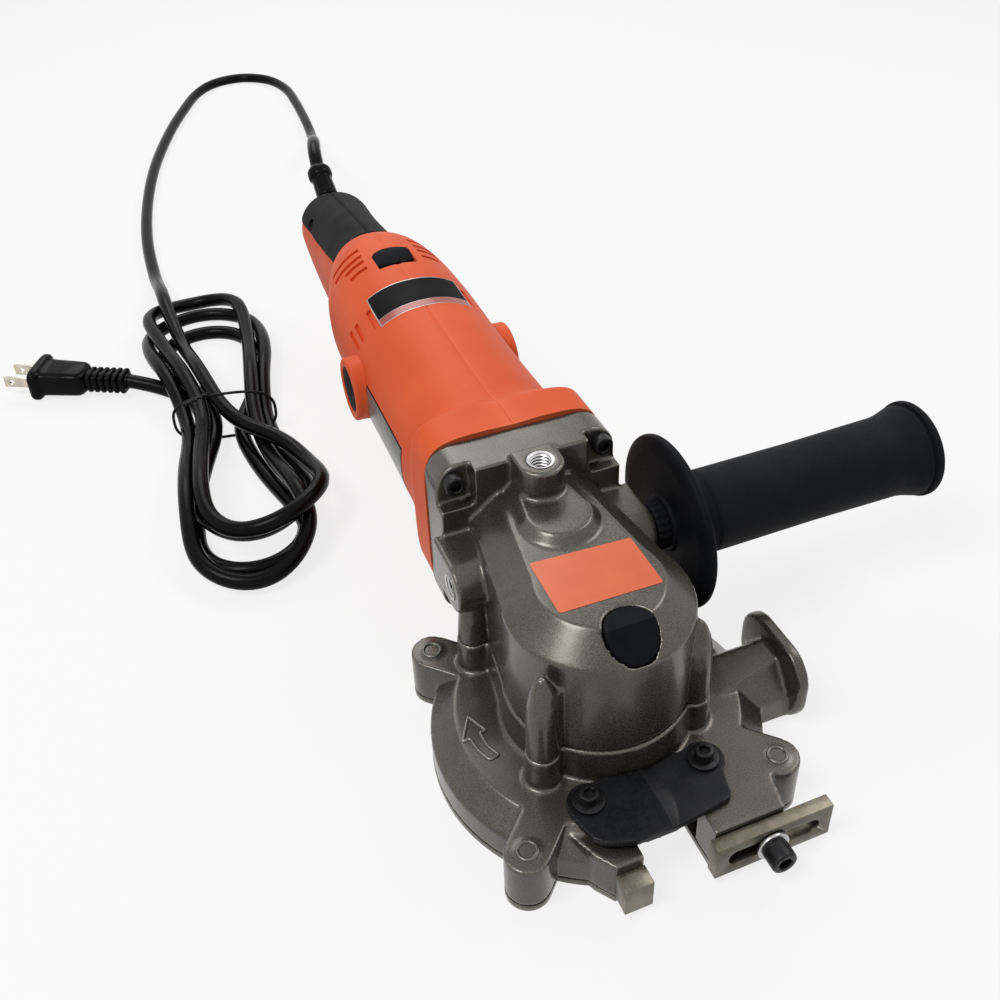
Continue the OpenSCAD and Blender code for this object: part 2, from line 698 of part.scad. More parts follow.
module vent_slots() {
  for (i = [0:3]) translate([20, 258 + i * 5.5, 76 - i * 0.6]) rotate([0, -35, 12])
    translate([0, -1.2, -7]) cube([30, 2.4, 14]);
  for (v = [[192, 15, 35.3], [194, 12, 45.7], [196, 9, 53]])
    translate([0, v[0], motor_z]) rotate([0, -v[2], 0]) translate([30, 0, -1.2]) cube([20, v[1], 2.4]);
}
module boot_hole() translate(boot_foot) rotate([boot_tilt - 90, 0, 0]) {
  translate([0, 0, -0.3]) cylinder(r = 7.5, h = 8.6);
  cylinder(r = 5.5, h = 26);
}
module body_half() {
  difference() {
    union() {
      body_shell();
      body_bosses();
    }
    rod_y(11, rear_bearing_y - 0.01, rear_bearing_y + 7.01, motor_z);
    rod_y(8, rear_bearing_y - 3, rear_bearing_y + 12, motor_z);
    rod_x(11.3, 36.5, 44, brush_y, motor_z);
    rod_x(8, 20, 44, brush_y, motor_z);
    for (sz = [-1, 1]) translate([flange_pitch / 2, 0, motor_z + sz * flange_pitch / 2])
      rod_y(m5_hole, flange_back - 1, 95, 0);
    vent_slots();
    boot_hole();
    translate([0, 0, 90]) linear_extrude(20) knob_opening(0);
  }
}
module housing_right() color(orange) difference() {
  body_half();
  for (p = housing_screw_places) rod_x(1.75, -1, p[2] - 2, p[0], p[1]);
}
module housing_left() color(orange) mirror([1, 0, 0]) difference() {
  body_half();
  for (p = housing_screw_places) {
    rod_x(2, -1, 40, p[0], p[1]);
    rod_x(3.4, p[2] - 6, 40, p[0], p[1]);
  }
}
module housing_screws() color(dark_steel) for (p = housing_screw_places)
  translate([-p[2] + 6, p[0], p[1]]) rotate([0, -90, 0]) socket_screw(1.7, 2 * p[2] - 12, 3.1, 2.8);
module pad_half() {
  first = [for (i = [0:arc_steps]) if (arc_angle(i) > pad_angle) i][0];
  shell_skin([for (k = [pad_first:len(body) - 1]) let (s = body[k]) concat(
    [for (i = [first:arc_steps]) body_point(s, arc_angle(i), pad_proud)],
    [for (i = [arc_steps:-1:first]) body_point(s, arc_angle(i), 0.2 - pad_depth)])]);
}
module pad_holes() {
  p = housing_screw_places[3];
  boot_hole();
  rod_x(3.6, 0, 40, p[0], p[1]);
}
module grip_pad_right() color(grip_grey) difference() {
  pad_half();
  pad_holes();
}
module grip_pad_left() color(grip_grey) mirror([1, 0, 0]) difference() {
  pad_half();
  pad_holes();
}

// Motor stator, brushes and wiring
module stator_core() color(dark_steel) translate([0, stator_y, motor_z]) rotate([-90, 0, 0]) difference() {
  cylinder(r = stator_r, h = stator_len);
  translate([0, 0, -cut]) cylinder(r = rotor_r + 0.7, h = stator_len + 1);
  for (s = [-1, 1]) translate([s * 24, 0, -cut]) linear_extrude(stator_len + 1) rounded_square(9, 34, 3);
}
module field_windings() color(copper) for (s = [-1, 1]) difference() {
  union() {
    translate([s * 24, stator_y - 5, motor_z]) rotate([-90, 0, 0])
      linear_extrude(stator_len + 10) rounded_square(8, 33, 3);
  }
  rod_y(rotor_r + 1, stator_y - 6, stator_y + stator_len + 6, motor_z);
}
module brush_tube(w, h, x0, x1) {
  translate([x0, brush_y - w / 2, motor_z - h / 2]) cube([x1 - x0, w, h]);
}
module brush_holders() color(brass) both_sides() difference() {
  brush_tube(10, 8, 13.5, 35);
  brush_tube(8.2, 6.2, 13, 36);
}
module carbon_brushes() color(dark_steel) both_sides() difference() {
  brush_tube(8, 6, 11, 28);
  rod_y(12.3, brush_y - 10, brush_y + 10, motor_z);
}
module brush_springs() color(steel) both_sides()
  translate([28, brush_y, motor_z]) rotate([0, 90, 0]) ring(2.6, 1.9, 8.9);
module brush_caps() color(black_plastic) both_sides() difference() {
  rod_x(11.2, 36.9, 41.2, brush_y, motor_z);
  translate([39.8, brush_y - 6, motor_z - 1]) cube([3, 12, 2]);
}
module switch_body() color(black_plastic) translate([-8, 224, 72]) cube([16, 36, 20]);
module suppression_capacitor() color(board) translate([-9, 266, 58]) cube([18, 24, 12]);

// Switch knob: a thumb pad in the hood opening on a slide under the hood
module switch_knob() color(black_plastic) {
  intersection() {
    translate([0, 0, 96]) linear_extrude(hood_z + 0.9 - 96) knob_opening(0.4);
    translate([-20, knob_y + switch_travel + 0.4, 90]) cube([40, 20, 20]);
  }
  translate([-8, knob_y - 3, 94.2]) cube([16, knob_len + 13, 2.6]);
  translate([-4, knob_y + 6, 92.4]) cube([8, 10, 3]);
}

// Cord, boot, hank and plug
module cord_boot() color(black_plastic) translate(boot_foot) rotate([boot_tilt - 90, 0, 0])
  rotate_extrude() polygon([[0, 0], [7.2, 0], [7.2, 8], [5.2, 9.4], [5.2, 20.6], [6.6, 21.8], [6, 35.6],
    [7.3, 37], [7.5, 39.5], [7.3, 42], [5.4, boot_len], [0, boot_len]]);
module power_cord() color(black_plastic) {
  cord_tube(cord_route, cord_r, 10);
  cord_tube(tail_route, cord_r, 10);
}
module hank_outline() {
  difference() {
    union() {
      translate(hank_top) rotate(90) stadium(hank_top_len, hank_r);
      translate(hank_foot) rotate(90) stadium(hank_foot_len, hank_r);
      translate(hank_waist) square([hank_waist_w, 80], center = true);
    }
    translate(hank_top + [6, -10]) rotate(90) stadium(30, 11);
  }
}
module cord_hank() color(black_plastic) linear_extrude(hank_h) hank_outline();
module cord_tie() color(black_plastic) along_y(hank_waist[1] - 2, hank_waist[1] + 2)
  translate([hank_waist[0], hank_h / 2 + 0.6]) difference() {
    square([hank_waist_w + 3, hank_h + 1.2], center = true);
    translate([0, -0.6]) square([hank_waist_w, hank_h + 0.02], center = true);
  }
module plug_frame() {
  translate(plug_tail) rotate([0, 0, plug_turn]) children();
}
module plug_body() color(black_plastic) plug_frame() {
  rotate([0, 90, 0]) rotate_extrude() polygon([[0, 0], [5.2, 0], [7.6, 26], [7.6, 30], [0, 30]]);
  translate([26, 0, 0]) rotate([90, 0, 90]) linear_extrude(25) rounded_square(21, 15, 3);
  translate([49, 0, 0.8]) rotate([90, 0, 90]) linear_extrude(5) rounded_square(27, 19.4, 5);
}
module plug_blades() color(steel) plug_frame() for (s = [-1, 1])
  translate([plug_len, s * 6.35, 0]) difference() {
    translate([0, -0.75, -3.15]) cube([16.5, 1.5, 6.3]);
    translate([12, -3, 0]) rotate([-90, 0, 0]) cylinder(r = 1.6, h = 6);
  }

// Side handle with its hand guard
module side_handle_grip() color(black_plastic)
  translate([handle_face + 12, handle_y, handle_z]) rotate([0, 90, 0]) rotate_extrude() polygon([
    [4.3, 0], [grip_r - 1.2, 0], [grip_r, 3], [grip_r - 0.5, grip_len * 0.45], [grip_r + 0.6, grip_len - 20],
    [grip_r + 1.6, grip_len - 14], [21.2, grip_len - 8], [21.6, grip_len - 3], [20.4, grip_len],
    [14, grip_len + 1], [0, grip_len + 1], [0, 28], [4.3, 28]]);
module hand_guard() color(black_plastic)
  translate([handle_face + 0.5, handle_y, handle_z]) rotate([0, 90, 0]) rotate_extrude() polygon([
    [4.3, 0], [9, 0], [9, 2], [10, 2.6], [10, 5], [9, 5.6], [9, 7.5], [33, 7], [guard_r, 8.2],
    [guard_r, 11], [33, 10.6], [12, 11.4], [4.3, 11.4]]);
module handle_stud() color(steel) rod_x(4.2, handle_face - 12, handle_face + 38, handle_y, handle_z);

// Armature
module armature_shaft() color(steel) {
  along_y(gear_y, gear_y + gear_w + 1) translate([0, motor_z]) rotate(90) spur_outline(motor_teeth, 0.85, -1.3);
  rod_y(4.5, gear_y + gear_w + 0.5, 64.2, motor_z);
  rod_y(6, 64, 104, motor_z);
  rod_y(6.5, 103.5, 190, motor_z);
  rod_y(4, 189.5, rear_bearing_y + 6.8, motor_z);
}
module armature_core() color(dark_steel) translate([0, stator_y + 1, motor_z]) rotate([-90, 0, 0]) difference() {
  cylinder(r = rotor_r, h = stator_len - 2);
  translate([0, 0, -cut]) cylinder(r = 6.5, h = stator_len);
  for (i = [0:11]) rotate(30 * i) translate([rotor_r - 2.5, -0.6, -cut]) cube([5, 1.2, stator_len]);
}
module armature_windings() color(copper) for (y = [stator_y - 7, stator_y + stator_len - 1])
  translate([0, y, motor_z]) rotate([-90, 0, 0]) ring(16.5, 6.5, 8);
module commutator() color(copper) translate([0, brush_y - 10, motor_z]) rotate([-90, 0, 0]) difference() {
  cylinder(r = 12, h = 20);
  translate([0, 0, -cut]) cylinder(r = 6.5, h = 21);
  for (i = [0:11]) rotate(30 * i) translate([11, -0.25, -cut]) cube([2, 0.5, 16]);
}
module cooling_fan() color(black_plastic) translate([0, 83, motor_z]) rotate([-90, 0, 0]) {
  ring(30, 6, 2);
  ring(9.5, 6, 13);
  for (i = [0:10]) rotate(360 / 11 * i) translate([9, -0.8, 1]) cube([20, 1.6, 11]);
}

// Countershaft and spindle
module bevel_pinion() {
  a = 90 - wheel_angle;
  small = cone_point(cone_inner, a, -bevel_root, 0);
  large = cone_point(cone_len, a, -bevel_root, 0);
  bevel_teeth(pinion_teeth, a, 90);
  rotate_extrude() polygon([[0, small[2]], [small[0], small[2]], [large[0], large[2]],
    [5.5, large[2] + 1.6], [5.5, 31], [0, 31]]);
}
module countershaft() color(steel) {
  translate([0, 0, counter_z]) rotate([-90, 0, 0]) bevel_pinion();
  rod_y(4, 30, plate_front + 0.8, counter_z);
  rod_y(5, 38, plate_front - 6, counter_z);
}
module intermediate_gear() color(steel) along_y(gear_y, gear_y + gear_w) translate([0, counter_z]) difference() {
  spur_outline(counter_teeth, 0.85, -1.3);
  circle(5);
}
module bevel_gear() color(steel) difference() {
  union() {
    translate([0, 0, counter_z]) mirror([0, 0, 1]) {
      inner = cone_point(cone_inner, wheel_angle, -bevel_root, 0);
      outer = cone_point(cone_len, wheel_angle, -bevel_root, 0);
      hub_low = counter_z - lock_disc_top;
      bevel_teeth(wheel_teeth, wheel_angle, 90 + 180 / wheel_teeth);
      rotate_extrude() polygon([[spindle_r, inner[2]], [inner[0], inner[2]], [outer[0], outer[2]],
        [outer[0], outer[2] + 2.4], [14, hub_low], [spindle_r, hub_low]]);
    }
    translate([0, 0, lock_disc_top - lock_disc_t]) cylinder(r = lock_disc_r, h = lock_disc_t);
  }
  translate([0, 0, 50]) cylinder(r = spindle_r, h = 30);
  for (a = [0:90:270]) rotate(a) translate([0, -lock_ring_r, 50]) cylinder(r = lock_pin_r + 0.4, h = 15);
}
module spindle() color(steel) difference() {
  union() {
    translate([0, 0, hub_z]) cylinder(r = 10, h = 2.5);
    translate([0, 0, hub_z]) cylinder(r = spindle_r, h = 70.5 - hub_z);
    translate([0, 0, 70]) cylinder(r = spindle_nose_r, h = spindle_top - 70.5);
  }
  translate([0, 0, hub_z - 1]) cylinder(r = 4.05, h = 20);
}
module blade_flanges() color(steel) {
  difference() {
    union() {
      translate([0, 0, blade_top]) cylinder(r = flange_plate_r, h = hub_z - blade_top);
      translate([0, 0, blade_z + 0.2]) cylinder(r = 9.9, h = blade_t);
    }
    cylinder(r = 4.1, h = hub_z + 1);
  }
  translate([0, 0, blade_z - 2.6]) difference() {
    cylinder(r1 = flange_plate_r - 1.5, r2 = flange_plate_r, h = 2.6);
    translate([0, 0, -cut]) cylinder(r = 4.1, h = 4);
  }
}
module saw_blade() color(steel) translate([0, 0, blade_z]) linear_extrude(blade_t) difference() {
  blade_r = blade_d / 2;
  step = 360 / blade_teeth;
  polygon([for (i = [0:blade_teeth - 1], p = [[blade_r, 0], [blade_r - 4.5, 0.1], [blade_r - 5, 0.4], [blade_r - 0.9, 0.75]])
    p[0] * [cos(step * (i + p[1])), sin(step * (i + p[1]))]]);
  circle(10);
  for (a = [20:90:290]) rotate(a) translate([30, 0]) stadium(12, 1.2);
}
module blade_bolt() color(dark_steel) translate([0, 0, blade_z - 2.6]) mirror([0, 0, 1])
  socket_screw(4, 22, 7, 3.4);

// Lock button, its return spring
module lock_button() color(black_plastic) {
  difference() {
    union() {
      translate([0, button_y, button_foot]) cylinder(r = button_r, h = 87 - button_foot);
      front_round(button_r, 2.9, button_deep, button_foot + 1);
    }
    translate([-20, button_y + 1, 86.8]) rotate([40, 0, 0]) translate([0, -30, 0]) cube([40, 30, 20]);
  }
  translate([0, button_y, lock_pin_end]) cylinder(r = lock_pin_r, h = button_deep - lock_pin_end + 0.5);
}
module lock_spring() color(steel) translate([0, button_y, pocket_deep])
  ring(3.1, 2.55, button_deep - pocket_deep);

base_cover();
base_cover_screws();
blade_case();
case_screws();
fixed_stop();
chip_flap();
flap_screws();
flap_washers();
stop_bolt();
stop_washer();
gear_case();
flange_screws();
gear_plate();
spindle_bearing();
spindle_bush();
spindle_seal();
countershaft_bearings();
armature_front_bearing();
armature_rear_bearing();
housing_left();
housing_right();
grip_pad_left();
grip_pad_right();
housing_screws();
stator_core();
field_windings();
brush_holders();
carbon_brushes();
brush_springs();
brush_caps();
switch_body();
suppression_capacitor();
cord_boot();
power_cord();
cord_hank();
cord_tie();
plug_body();
plug_blades();
side_handle_grip();
hand_guard();
handle_stud();
armature_shaft();
armature_core();
armature_windings();
commutator();
cooling_fan();
countershaft();
intermediate_gear();
spindle();
bevel_gear();
blade_flanges();
saw_blade();
blade_bolt();
switch_knob();
lock_button();
lock_spring();
stop_bar();
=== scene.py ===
import math
import bmesh
import bpy
import numpy as np
from mathutils import Matrix, Vector


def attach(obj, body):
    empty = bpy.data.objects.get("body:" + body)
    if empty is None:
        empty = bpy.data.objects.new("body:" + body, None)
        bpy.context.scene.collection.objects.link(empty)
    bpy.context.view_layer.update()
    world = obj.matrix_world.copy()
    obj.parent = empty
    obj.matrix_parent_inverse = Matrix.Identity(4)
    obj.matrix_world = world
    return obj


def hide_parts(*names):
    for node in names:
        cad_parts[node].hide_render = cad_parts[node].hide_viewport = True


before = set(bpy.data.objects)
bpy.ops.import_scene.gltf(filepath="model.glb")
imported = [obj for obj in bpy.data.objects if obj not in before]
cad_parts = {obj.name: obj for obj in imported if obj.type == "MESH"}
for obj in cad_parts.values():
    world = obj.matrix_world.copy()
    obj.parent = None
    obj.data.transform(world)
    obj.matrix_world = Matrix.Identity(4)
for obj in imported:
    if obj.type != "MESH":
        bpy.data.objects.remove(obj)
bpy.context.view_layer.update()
scene = bpy.context.scene
mm = 0.001
turn = 2 * math.pi
print("frame loaded:", len(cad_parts), "nodes")

# camera, from one fit to the outlines in the photograph
shot = {
    "yaw": -21.74, "pitch": 35.79, "roll": -1.44, "target": (19.69, 122.67, 70.88), "distance": 515.78,
    "focal": 1143.94, "centre": (519.17, 419.55), "frame": 1000.0, "sensor": 36.0, "nearest": 0.01}


def makeCamera():
    yaw, pitch, roll = (math.radians(shot[k]) for k in ("yaw", "pitch", "roll"))
    back = Vector((math.sin(yaw) * math.cos(pitch), -math.cos(yaw) * math.cos(pitch), math.sin(pitch)))
    side = (-back).cross(Vector((0, 0, 1))).normalized()
    up = side.cross(-back)
    across = math.cos(roll) * side + math.sin(roll) * up
    above = -math.sin(roll) * side + math.cos(roll) * up
    data = bpy.data.cameras.new("photoCamera")
    data.sensor_fit = "HORIZONTAL"
    data.sensor_width = shot["sensor"]
    data.lens = shot["sensor"] * shot["focal"] / shot["frame"]
    data.shift_x = (shot["frame"] / 2 - shot["centre"][0]) / shot["frame"]
    data.shift_y = (shot["centre"][1] - shot["frame"] / 2) / shot["frame"]
    data.clip_start = shot["nearest"]
    camera = bpy.data.objects.new("photoCamera", data)
    stand = Matrix((across, above, back)).transposed().to_4x4()
    stand.translation = (Vector(shot["target"]) + back * shot["distance"]) * mm
    camera.matrix_world = stand
    scene.collection.objects.link(camera)
    scene.camera = camera


makeCamera()
scene.view_settings.view_transform = "Standard"


# finishes: colours in linear light, sizes of the patterns in millimetres
finishLook = {
    "contrast": 0.18, "fleckDark": (0.34, (0.45,) * 3), "fleckLight": (0.64, (1.5,) * 3),
    "grainRange": (0.3, 0.7), "relief": 0.6, "coatRough": 0.16}


def setInputs(tree, node, inputs):
    # a socket is linked, anything else is a value
    for key, value in inputs.items():
        if isinstance(value, bpy.types.NodeSocket):
            tree.links.new(value, node.inputs[key])
        else:
            node.inputs[key].default_value = value


def addNode(tree, kind, inputs=None, **fields):
    made = tree.nodes.new(kind)
    for key, value in fields.items():
        setattr(made, key, value)
    setInputs(tree, made, inputs or {})
    return made


def rampNode(tree, source, stops):
    made = addNode(tree, "ShaderNodeValToRGB", {"Fac": source})
    for element, (at, colour) in zip(made.color_ramp.elements, stops):
        element.position = at
        element.color = (*colour, 1)
    return made.outputs["Color"]


def noiseNode(tree, where, size, detail, rough=0.55):
    return addNode(tree, "ShaderNodeTexNoise", {"Vector": where, "Scale": 1 / (size * mm), "Detail": detail,
                                                "Roughness": rough}).outputs["Fac"]


def makeFinish(name, dark, light, rough, metal=0.0, patch=14, grain=0.8, bump=0.05, stretch=(1, 1, 1),
               edge=None, speck=0.0, coat=0.0, gloss=0.5):
    look = finishLook
    finish = bpy.data.materials.new(name)
    finish.use_nodes = True
    tree = finish.node_tree
    shader = tree.nodes["Principled BSDF"]
    spot = addNode(tree, "ShaderNodeTexCoord").outputs["Object"]
    drawn = addNode(tree, "ShaderNodeMapping", {"Vector": spot, "Scale": stretch}).outputs["Vector"]
    broad = noiseNode(tree, spot, patch, 4)
    fine = noiseNode(tree, drawn, grain, 2, 0.6)
    colour = rampNode(tree, broad, [(0.5 - look["contrast"], dark), (0.5 + look["contrast"], light)])
    if speck:
        flecks = rampNode(tree, fine, [look["fleckDark"], look["fleckLight"]])
        colour = addNode(tree, "ShaderNodeMix", {"Factor": speck, "A": colour, "B": flecks},
                         data_type="RGBA", blend_type="MULTIPLY").outputs["Result"]
    if edge:
        # worn where the surface is pointed
        bare, first, last = edge
        point = addNode(tree, "ShaderNodeNewGeometry").outputs["Pointiness"]
        worn = rampNode(tree, point, [(first, (0, 0, 0)), (last, (1, 1, 1))])
        colour = addNode(tree, "ShaderNodeMix", {"Factor": worn, "A": colour, "B": (*bare, 1)},
                         data_type="RGBA").outputs["Result"]
    low, high = look["grainRange"]
    spread = addNode(tree, "ShaderNodeMapRange", {"Value": fine, "From Min": low, "From Max": high,
                                                  "To Min": rough[0], "To Max": rough[1]})
    relief = addNode(tree, "ShaderNodeBump", {"Height": fine, "Strength": look["relief"],
                                              "Distance": bump * mm})
    setInputs(tree, shader, {"Base Color": colour, "Roughness": spread.outputs["Result"], "Metallic": metal,
                             "Normal": relief.outputs["Normal"], "Specular IOR Level": gloss})
    if coat:
        setInputs(tree, shader, {"Coat Weight": coat, "Coat Roughness": look["coatRough"]})
    return finish


# dark and light colour, roughness from and to, metal, then what differs from a plain finish
finishTable = {
    "cast": ((0.07, 0.064, 0.052), (0.1, 0.091, 0.075), (0.2, 0.4), 0.62, dict(
        patch=26, grain=0.5, bump=0.045, edge=((0.3, 0.285, 0.25), 0.53, 0.61), speck=0.55, coat=0.3,
        gloss=0.3)),
    "steel": ((0.42, 0.42, 0.43), (0.58, 0.58, 0.58), (0.22, 0.42), 1.0, dict(
        patch=9, grain=0.35, bump=0.012, stretch=(1, 6, 6))),
    "blackSteel": ((0.008, 0.008, 0.009), (0.02, 0.02, 0.022), (0.28, 0.5), 0.7, dict(
        patch=4, grain=0.4, bump=0.02, edge=((0.1, 0.1, 0.105), 0.56, 0.72))),
    "zinc": ((0.066, 0.057, 0.042), (0.155, 0.138, 0.105), (0.28, 0.5), 0.9, dict(
        patch=7, grain=0.7, bump=0.03, stretch=(1, 1, 4), edge=((0.42, 0.38, 0.3), 0.55, 0.7), speck=0.35)),
    "orange": ((0.7, 0.096, 0.026), (0.78, 0.116, 0.034), (0.42, 0.58), 0.0, dict(
        patch=40, grain=0.5, bump=0.022, edge=((0.86, 0.19, 0.08), 0.54, 0.7), gloss=0.18)),
    "black": ((0.005, 0.0054, 0.0066), (0.01, 0.0106, 0.0124), (0.42, 0.62), 0.0, dict(
        patch=12, grain=0.6, bump=0.04, edge=((0.022, 0.023, 0.026), 0.54, 0.7), gloss=0.05)),
    "grip": ((0.0055, 0.006, 0.0074), (0.0105, 0.0112, 0.0132), (0.55, 0.75), 0.0, dict(
        patch=18, grain=0.7, bump=0.06, gloss=0.08)),
    "flap": ((0.0045, 0.005, 0.0062), (0.012, 0.0126, 0.0146), (0.26, 0.44), 0.0, dict(
        patch=9, grain=1.4, bump=0.06, edge=((0.04, 0.041, 0.044), 0.54, 0.68), gloss=0.18)),
    "pad": ((0.017, 0.017, 0.0175), (0.027, 0.027, 0.0278), (0.6, 0.8), 0.0, dict(
        patch=16, grain=0.8, bump=0.07, gloss=0.06)),
    "cord": ((0.0022, 0.0022, 0.0026), (0.005, 0.005, 0.0056), (0.16, 0.28), 0.0, dict(
        patch=20, grain=1.6, bump=0.05, gloss=0.07)),
    "tie": ((0.006, 0.006, 0.007), (0.014, 0.014, 0.015), (0.3, 0.45), 0.0, dict(
        patch=5, grain=0.8, gloss=0.1)),
    "plugMetal": ((0.5, 0.45, 0.36), (0.68, 0.63, 0.53), (0.18, 0.34), 1.0, dict(
        patch=4, grain=0.4, bump=0.01)),
    "copper": ((0.42, 0.15, 0.055), (0.58, 0.22, 0.085), (0.28, 0.45), 1.0, dict(
        patch=3, grain=0.5, bump=0.04, stretch=(1, 5, 1))),
    "brass": ((0.5, 0.34, 0.1), (0.66, 0.47, 0.16), (0.25, 0.4), 1.0, dict(patch=6, grain=0.5)),
    "carbon": ((0.012, 0.012, 0.012), (0.035, 0.035, 0.035), (0.55, 0.75), 0.1, dict(patch=3, grain=0.4)),
    "board": ((0.5, 0.34, 0.14), (0.62, 0.44, 0.2), (0.35, 0.5), 0.0, dict(patch=8, grain=0.8)),
    "tag": ((0.68, 0.11, 0.022), (0.76, 0.134, 0.03), (0.3, 0.4), 0.0, dict(
        patch=20, grain=0.5, bump=0.01, coat=0.2)),
    "label": ((0.005, 0.005, 0.006), (0.01, 0.01, 0.011), (0.4, 0.55), 0.0, dict(
        patch=20, grain=0.6, bump=0.008, gloss=0.03)),
    "stripe": ((0.3, 0.035, 0.022), (0.4, 0.05, 0.032), (0.25, 0.36), 0.0, dict(
        patch=12, grain=0.6, bump=0.008, coat=0.2)),
    "plate": ((0.3, 0.3, 0.3), (0.42, 0.42, 0.41), (0.3, 0.42), 0.85, dict(
        patch=14, grain=0.4, bump=0.01, stretch=(1, 0.1, 3)))}
finishes = {name: makeFinish(name + "Finish", *row[:-1], **row[-1]) for name, row in finishTable.items()}
slotFinish = {
    "cast_aluminium": "cast", "bright_steel": "steel", "black_steel": "blackSteel", "zinc_steel": "zinc",
    "orange_plastic": "orange", "black_plastic": "black", "grip_rubber": "grip", "cord_rubber": "cord",
    "tie_plastic": "tie", "plug_metal": "plugMetal", "copper": "copper", "brass": "brass", "carbon": "carbon",
    "capacitor_plastic": "board"}
# a node comes in with a material named for its slot
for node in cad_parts.values():
    for holder in node.material_slots:
        holder.material = finishes[slotFinish[holder.material.name]]
print("finishes made:", len(finishes))


# mesh helpers
def newPiece(data, finish):
    data.materials.append(finishes[finish])
    piece = bpy.data.objects.new(data.name, data)
    scene.collection.objects.link(piece)
    return piece


def fromBm(name, bm, finish):
    mesh = bpy.data.meshes.new(name)
    bm.to_mesh(mesh)
    bm.free()
    return newPiece(mesh, finish)


def shadeSmooth(piece, sharp=None):
    mesh = piece.data
    mesh.polygons.foreach_set("use_smooth", [True] * len(mesh.polygons))
    if sharp:
        mesh.set_sharp_from_angle(angle=math.radians(sharp))


def settle(piece):
    # modifiers become plain mesh
    graph = bpy.context.evaluated_depsgraph_get()
    made = bpy.data.meshes.new_from_object(piece.evaluated_get(graph))
    worn = [slot.material for slot in piece.material_slots]
    piece.modifiers.clear()
    piece.data = made
    if not made.materials:
        for finish in worn:
            made.materials.append(finish)


def place(piece, slot, *nodes, body="frame"):
    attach(piece, body)
    if nodes:
        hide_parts(*nodes)
    return piece


def roundCorners(points, radius, steps=4, closed=True):
    out = []
    count = len(points)
    for i, (x, y) in enumerate(points):
        if not closed and i in (0, count - 1):
            out.append((x, y))
            continue
        here, before, after = Vector((x, y)), Vector(points[i - 1]), Vector(points[(i + 1) % count])
        a, b = before - here, after - here
        cut = min(radius, a.length * 0.48, b.length * 0.48)
        first, last = here + a.normalized() * cut, here + b.normalized() * cut
        for k in range(steps + 1):
            u = k / steps
            out.append(tuple((1 - u) ** 2 * first + 2 * u * (1 - u) * here + u * u * last))
    return out


def stackRings(bm, rings, spot=Matrix.Identity(4), closed=False):
    # each ring is a list of points, or one point for a pole
    made = [[bm.verts.new(spot @ Vector(p) * mm) for p in ring] for ring in rings]
    pairs = list(zip(made, made[1:])) + ([(made[-1], made[0])] if closed else [])
    for low, high in pairs:
        count = max(len(low), len(high))
        for i in range(count):
            j = (i + 1) % count
            corners = [low[i % len(low)], low[j % len(low)], high[j % len(high)], high[i % len(high)]]
            corners = list(dict.fromkeys(corners))
            if len(corners) > 2:
                bm.faces.new(corners)


def turned(bm, profile, spot, count=64, closed=False, ripple=None):
    # profile is (radius, height); ripple changes a radius by height and angle
    rings = []
    for r, h in profile:
        if r < 1e-6:
            rings.append([(0, 0, h)])
            continue
        ring = []
        for i in range(count):
            a = turn * i / count
            reach = ripple(r, h, a) if ripple else r
            ring.append((reach * math.cos(a), reach * math.sin(a), h))
        rings.append(ring)
    stackRings(bm, rings, spot, closed)


def upright(x=0, y=0, z=0):
    return Matrix.Translation((x, y, z))


def alongX(x, y, z, way=1):
    return Matrix.Translation((x, y, z)) @ Matrix.Rotation(way * math.pi / 2, 4, "Y")


def alongY(x, y, z, way=1):
    return Matrix.Translation((x, y, z)) @ Matrix.Rotation(-way * math.pi / 2, 4, "X")


def slab(bm, outline, low, high):
    bottom, top = ([bm.verts.new(Vector((x, y, h)) * mm) for x, y in outline] for h in (low, high))
    bm.faces.new(bottom[::-1])
    bm.faces.new(top)
    for i in range(len(bottom)):
        j = (i + 1) % len(bottom)
        bm.faces.new([bottom[i], bottom[j], top[j], top[i]])


def finishEdges(piece, width, steps):
    bevel = piece.modifiers.new("edges", "BEVEL")
    bevel.width = width * mm
    bevel.segments = steps
    bevel.limit_method = "ANGLE"
    bevel.angle_limit = math.radians(30)
    settle(piece)
    shadeSmooth(piece, 40)


def fixFacing(bm):
    bmesh.ops.remove_doubles(bm, verts=bm.verts, dist=1e-7)
    bmesh.ops.recalc_face_normals(bm, faces=bm.faces)


def solidPiece(name, bm, finish, sharp):
    fixFacing(bm)
    piece = fromBm(name, bm, finish)
    shadeSmooth(piece, sharp)
    return piece


def turnedPiece(name, profile, spot, count, finish, closed=False, ripple=None):
    bm = bmesh.new()
    turned(bm, profile, spot, count, closed, ripple)
    return solidPiece(name, bm, finish, 50)


def splitProfile(profile, most):
    # more points along the straight runs
    fine = []
    for (r0, h0), (r1, h1) in zip(profile, profile[1:]):
        parts = max(1, int(abs(h1 - h0) / most))
        fine += [(r0 + (r1 - r0) * k / parts, h0 + (h1 - h0) * k / parts) for k in range(parts)]
    return fine + [profile[-1]]


def copyNode(node):
    bm = bmesh.new()
    bm.from_mesh(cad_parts[node].data)
    bmesh.ops.remove_doubles(bm, verts=bm.verts, dist=1e-6)
    return bm


def trimCount(piece, most):
    count = sum(len(p.vertices) - 2 for p in piece.data.polygons)
    if count > most:
        thin = piece.modifiers.new("thin", "DECIMATE")
        thin.ratio = most / count
        settle(piece)


def castCopy(name, node, voxel, rounds, finish, most=190000):
    # a solid with every edge rounded the way a mould leaves it
    piece = fromBm(name, copyNode(node), finish)
    skin = piece.modifiers.new("skin", "REMESH")
    skin.mode = "VOXEL"
    skin.voxel_size = voxel * mm
    soft = piece.modifiers.new("soft", "SMOOTH")
    soft.factor = 0.5
    soft.iterations = rounds
    settle(piece)
    trimCount(piece, most)
    shadeSmooth(piece)
    return piece


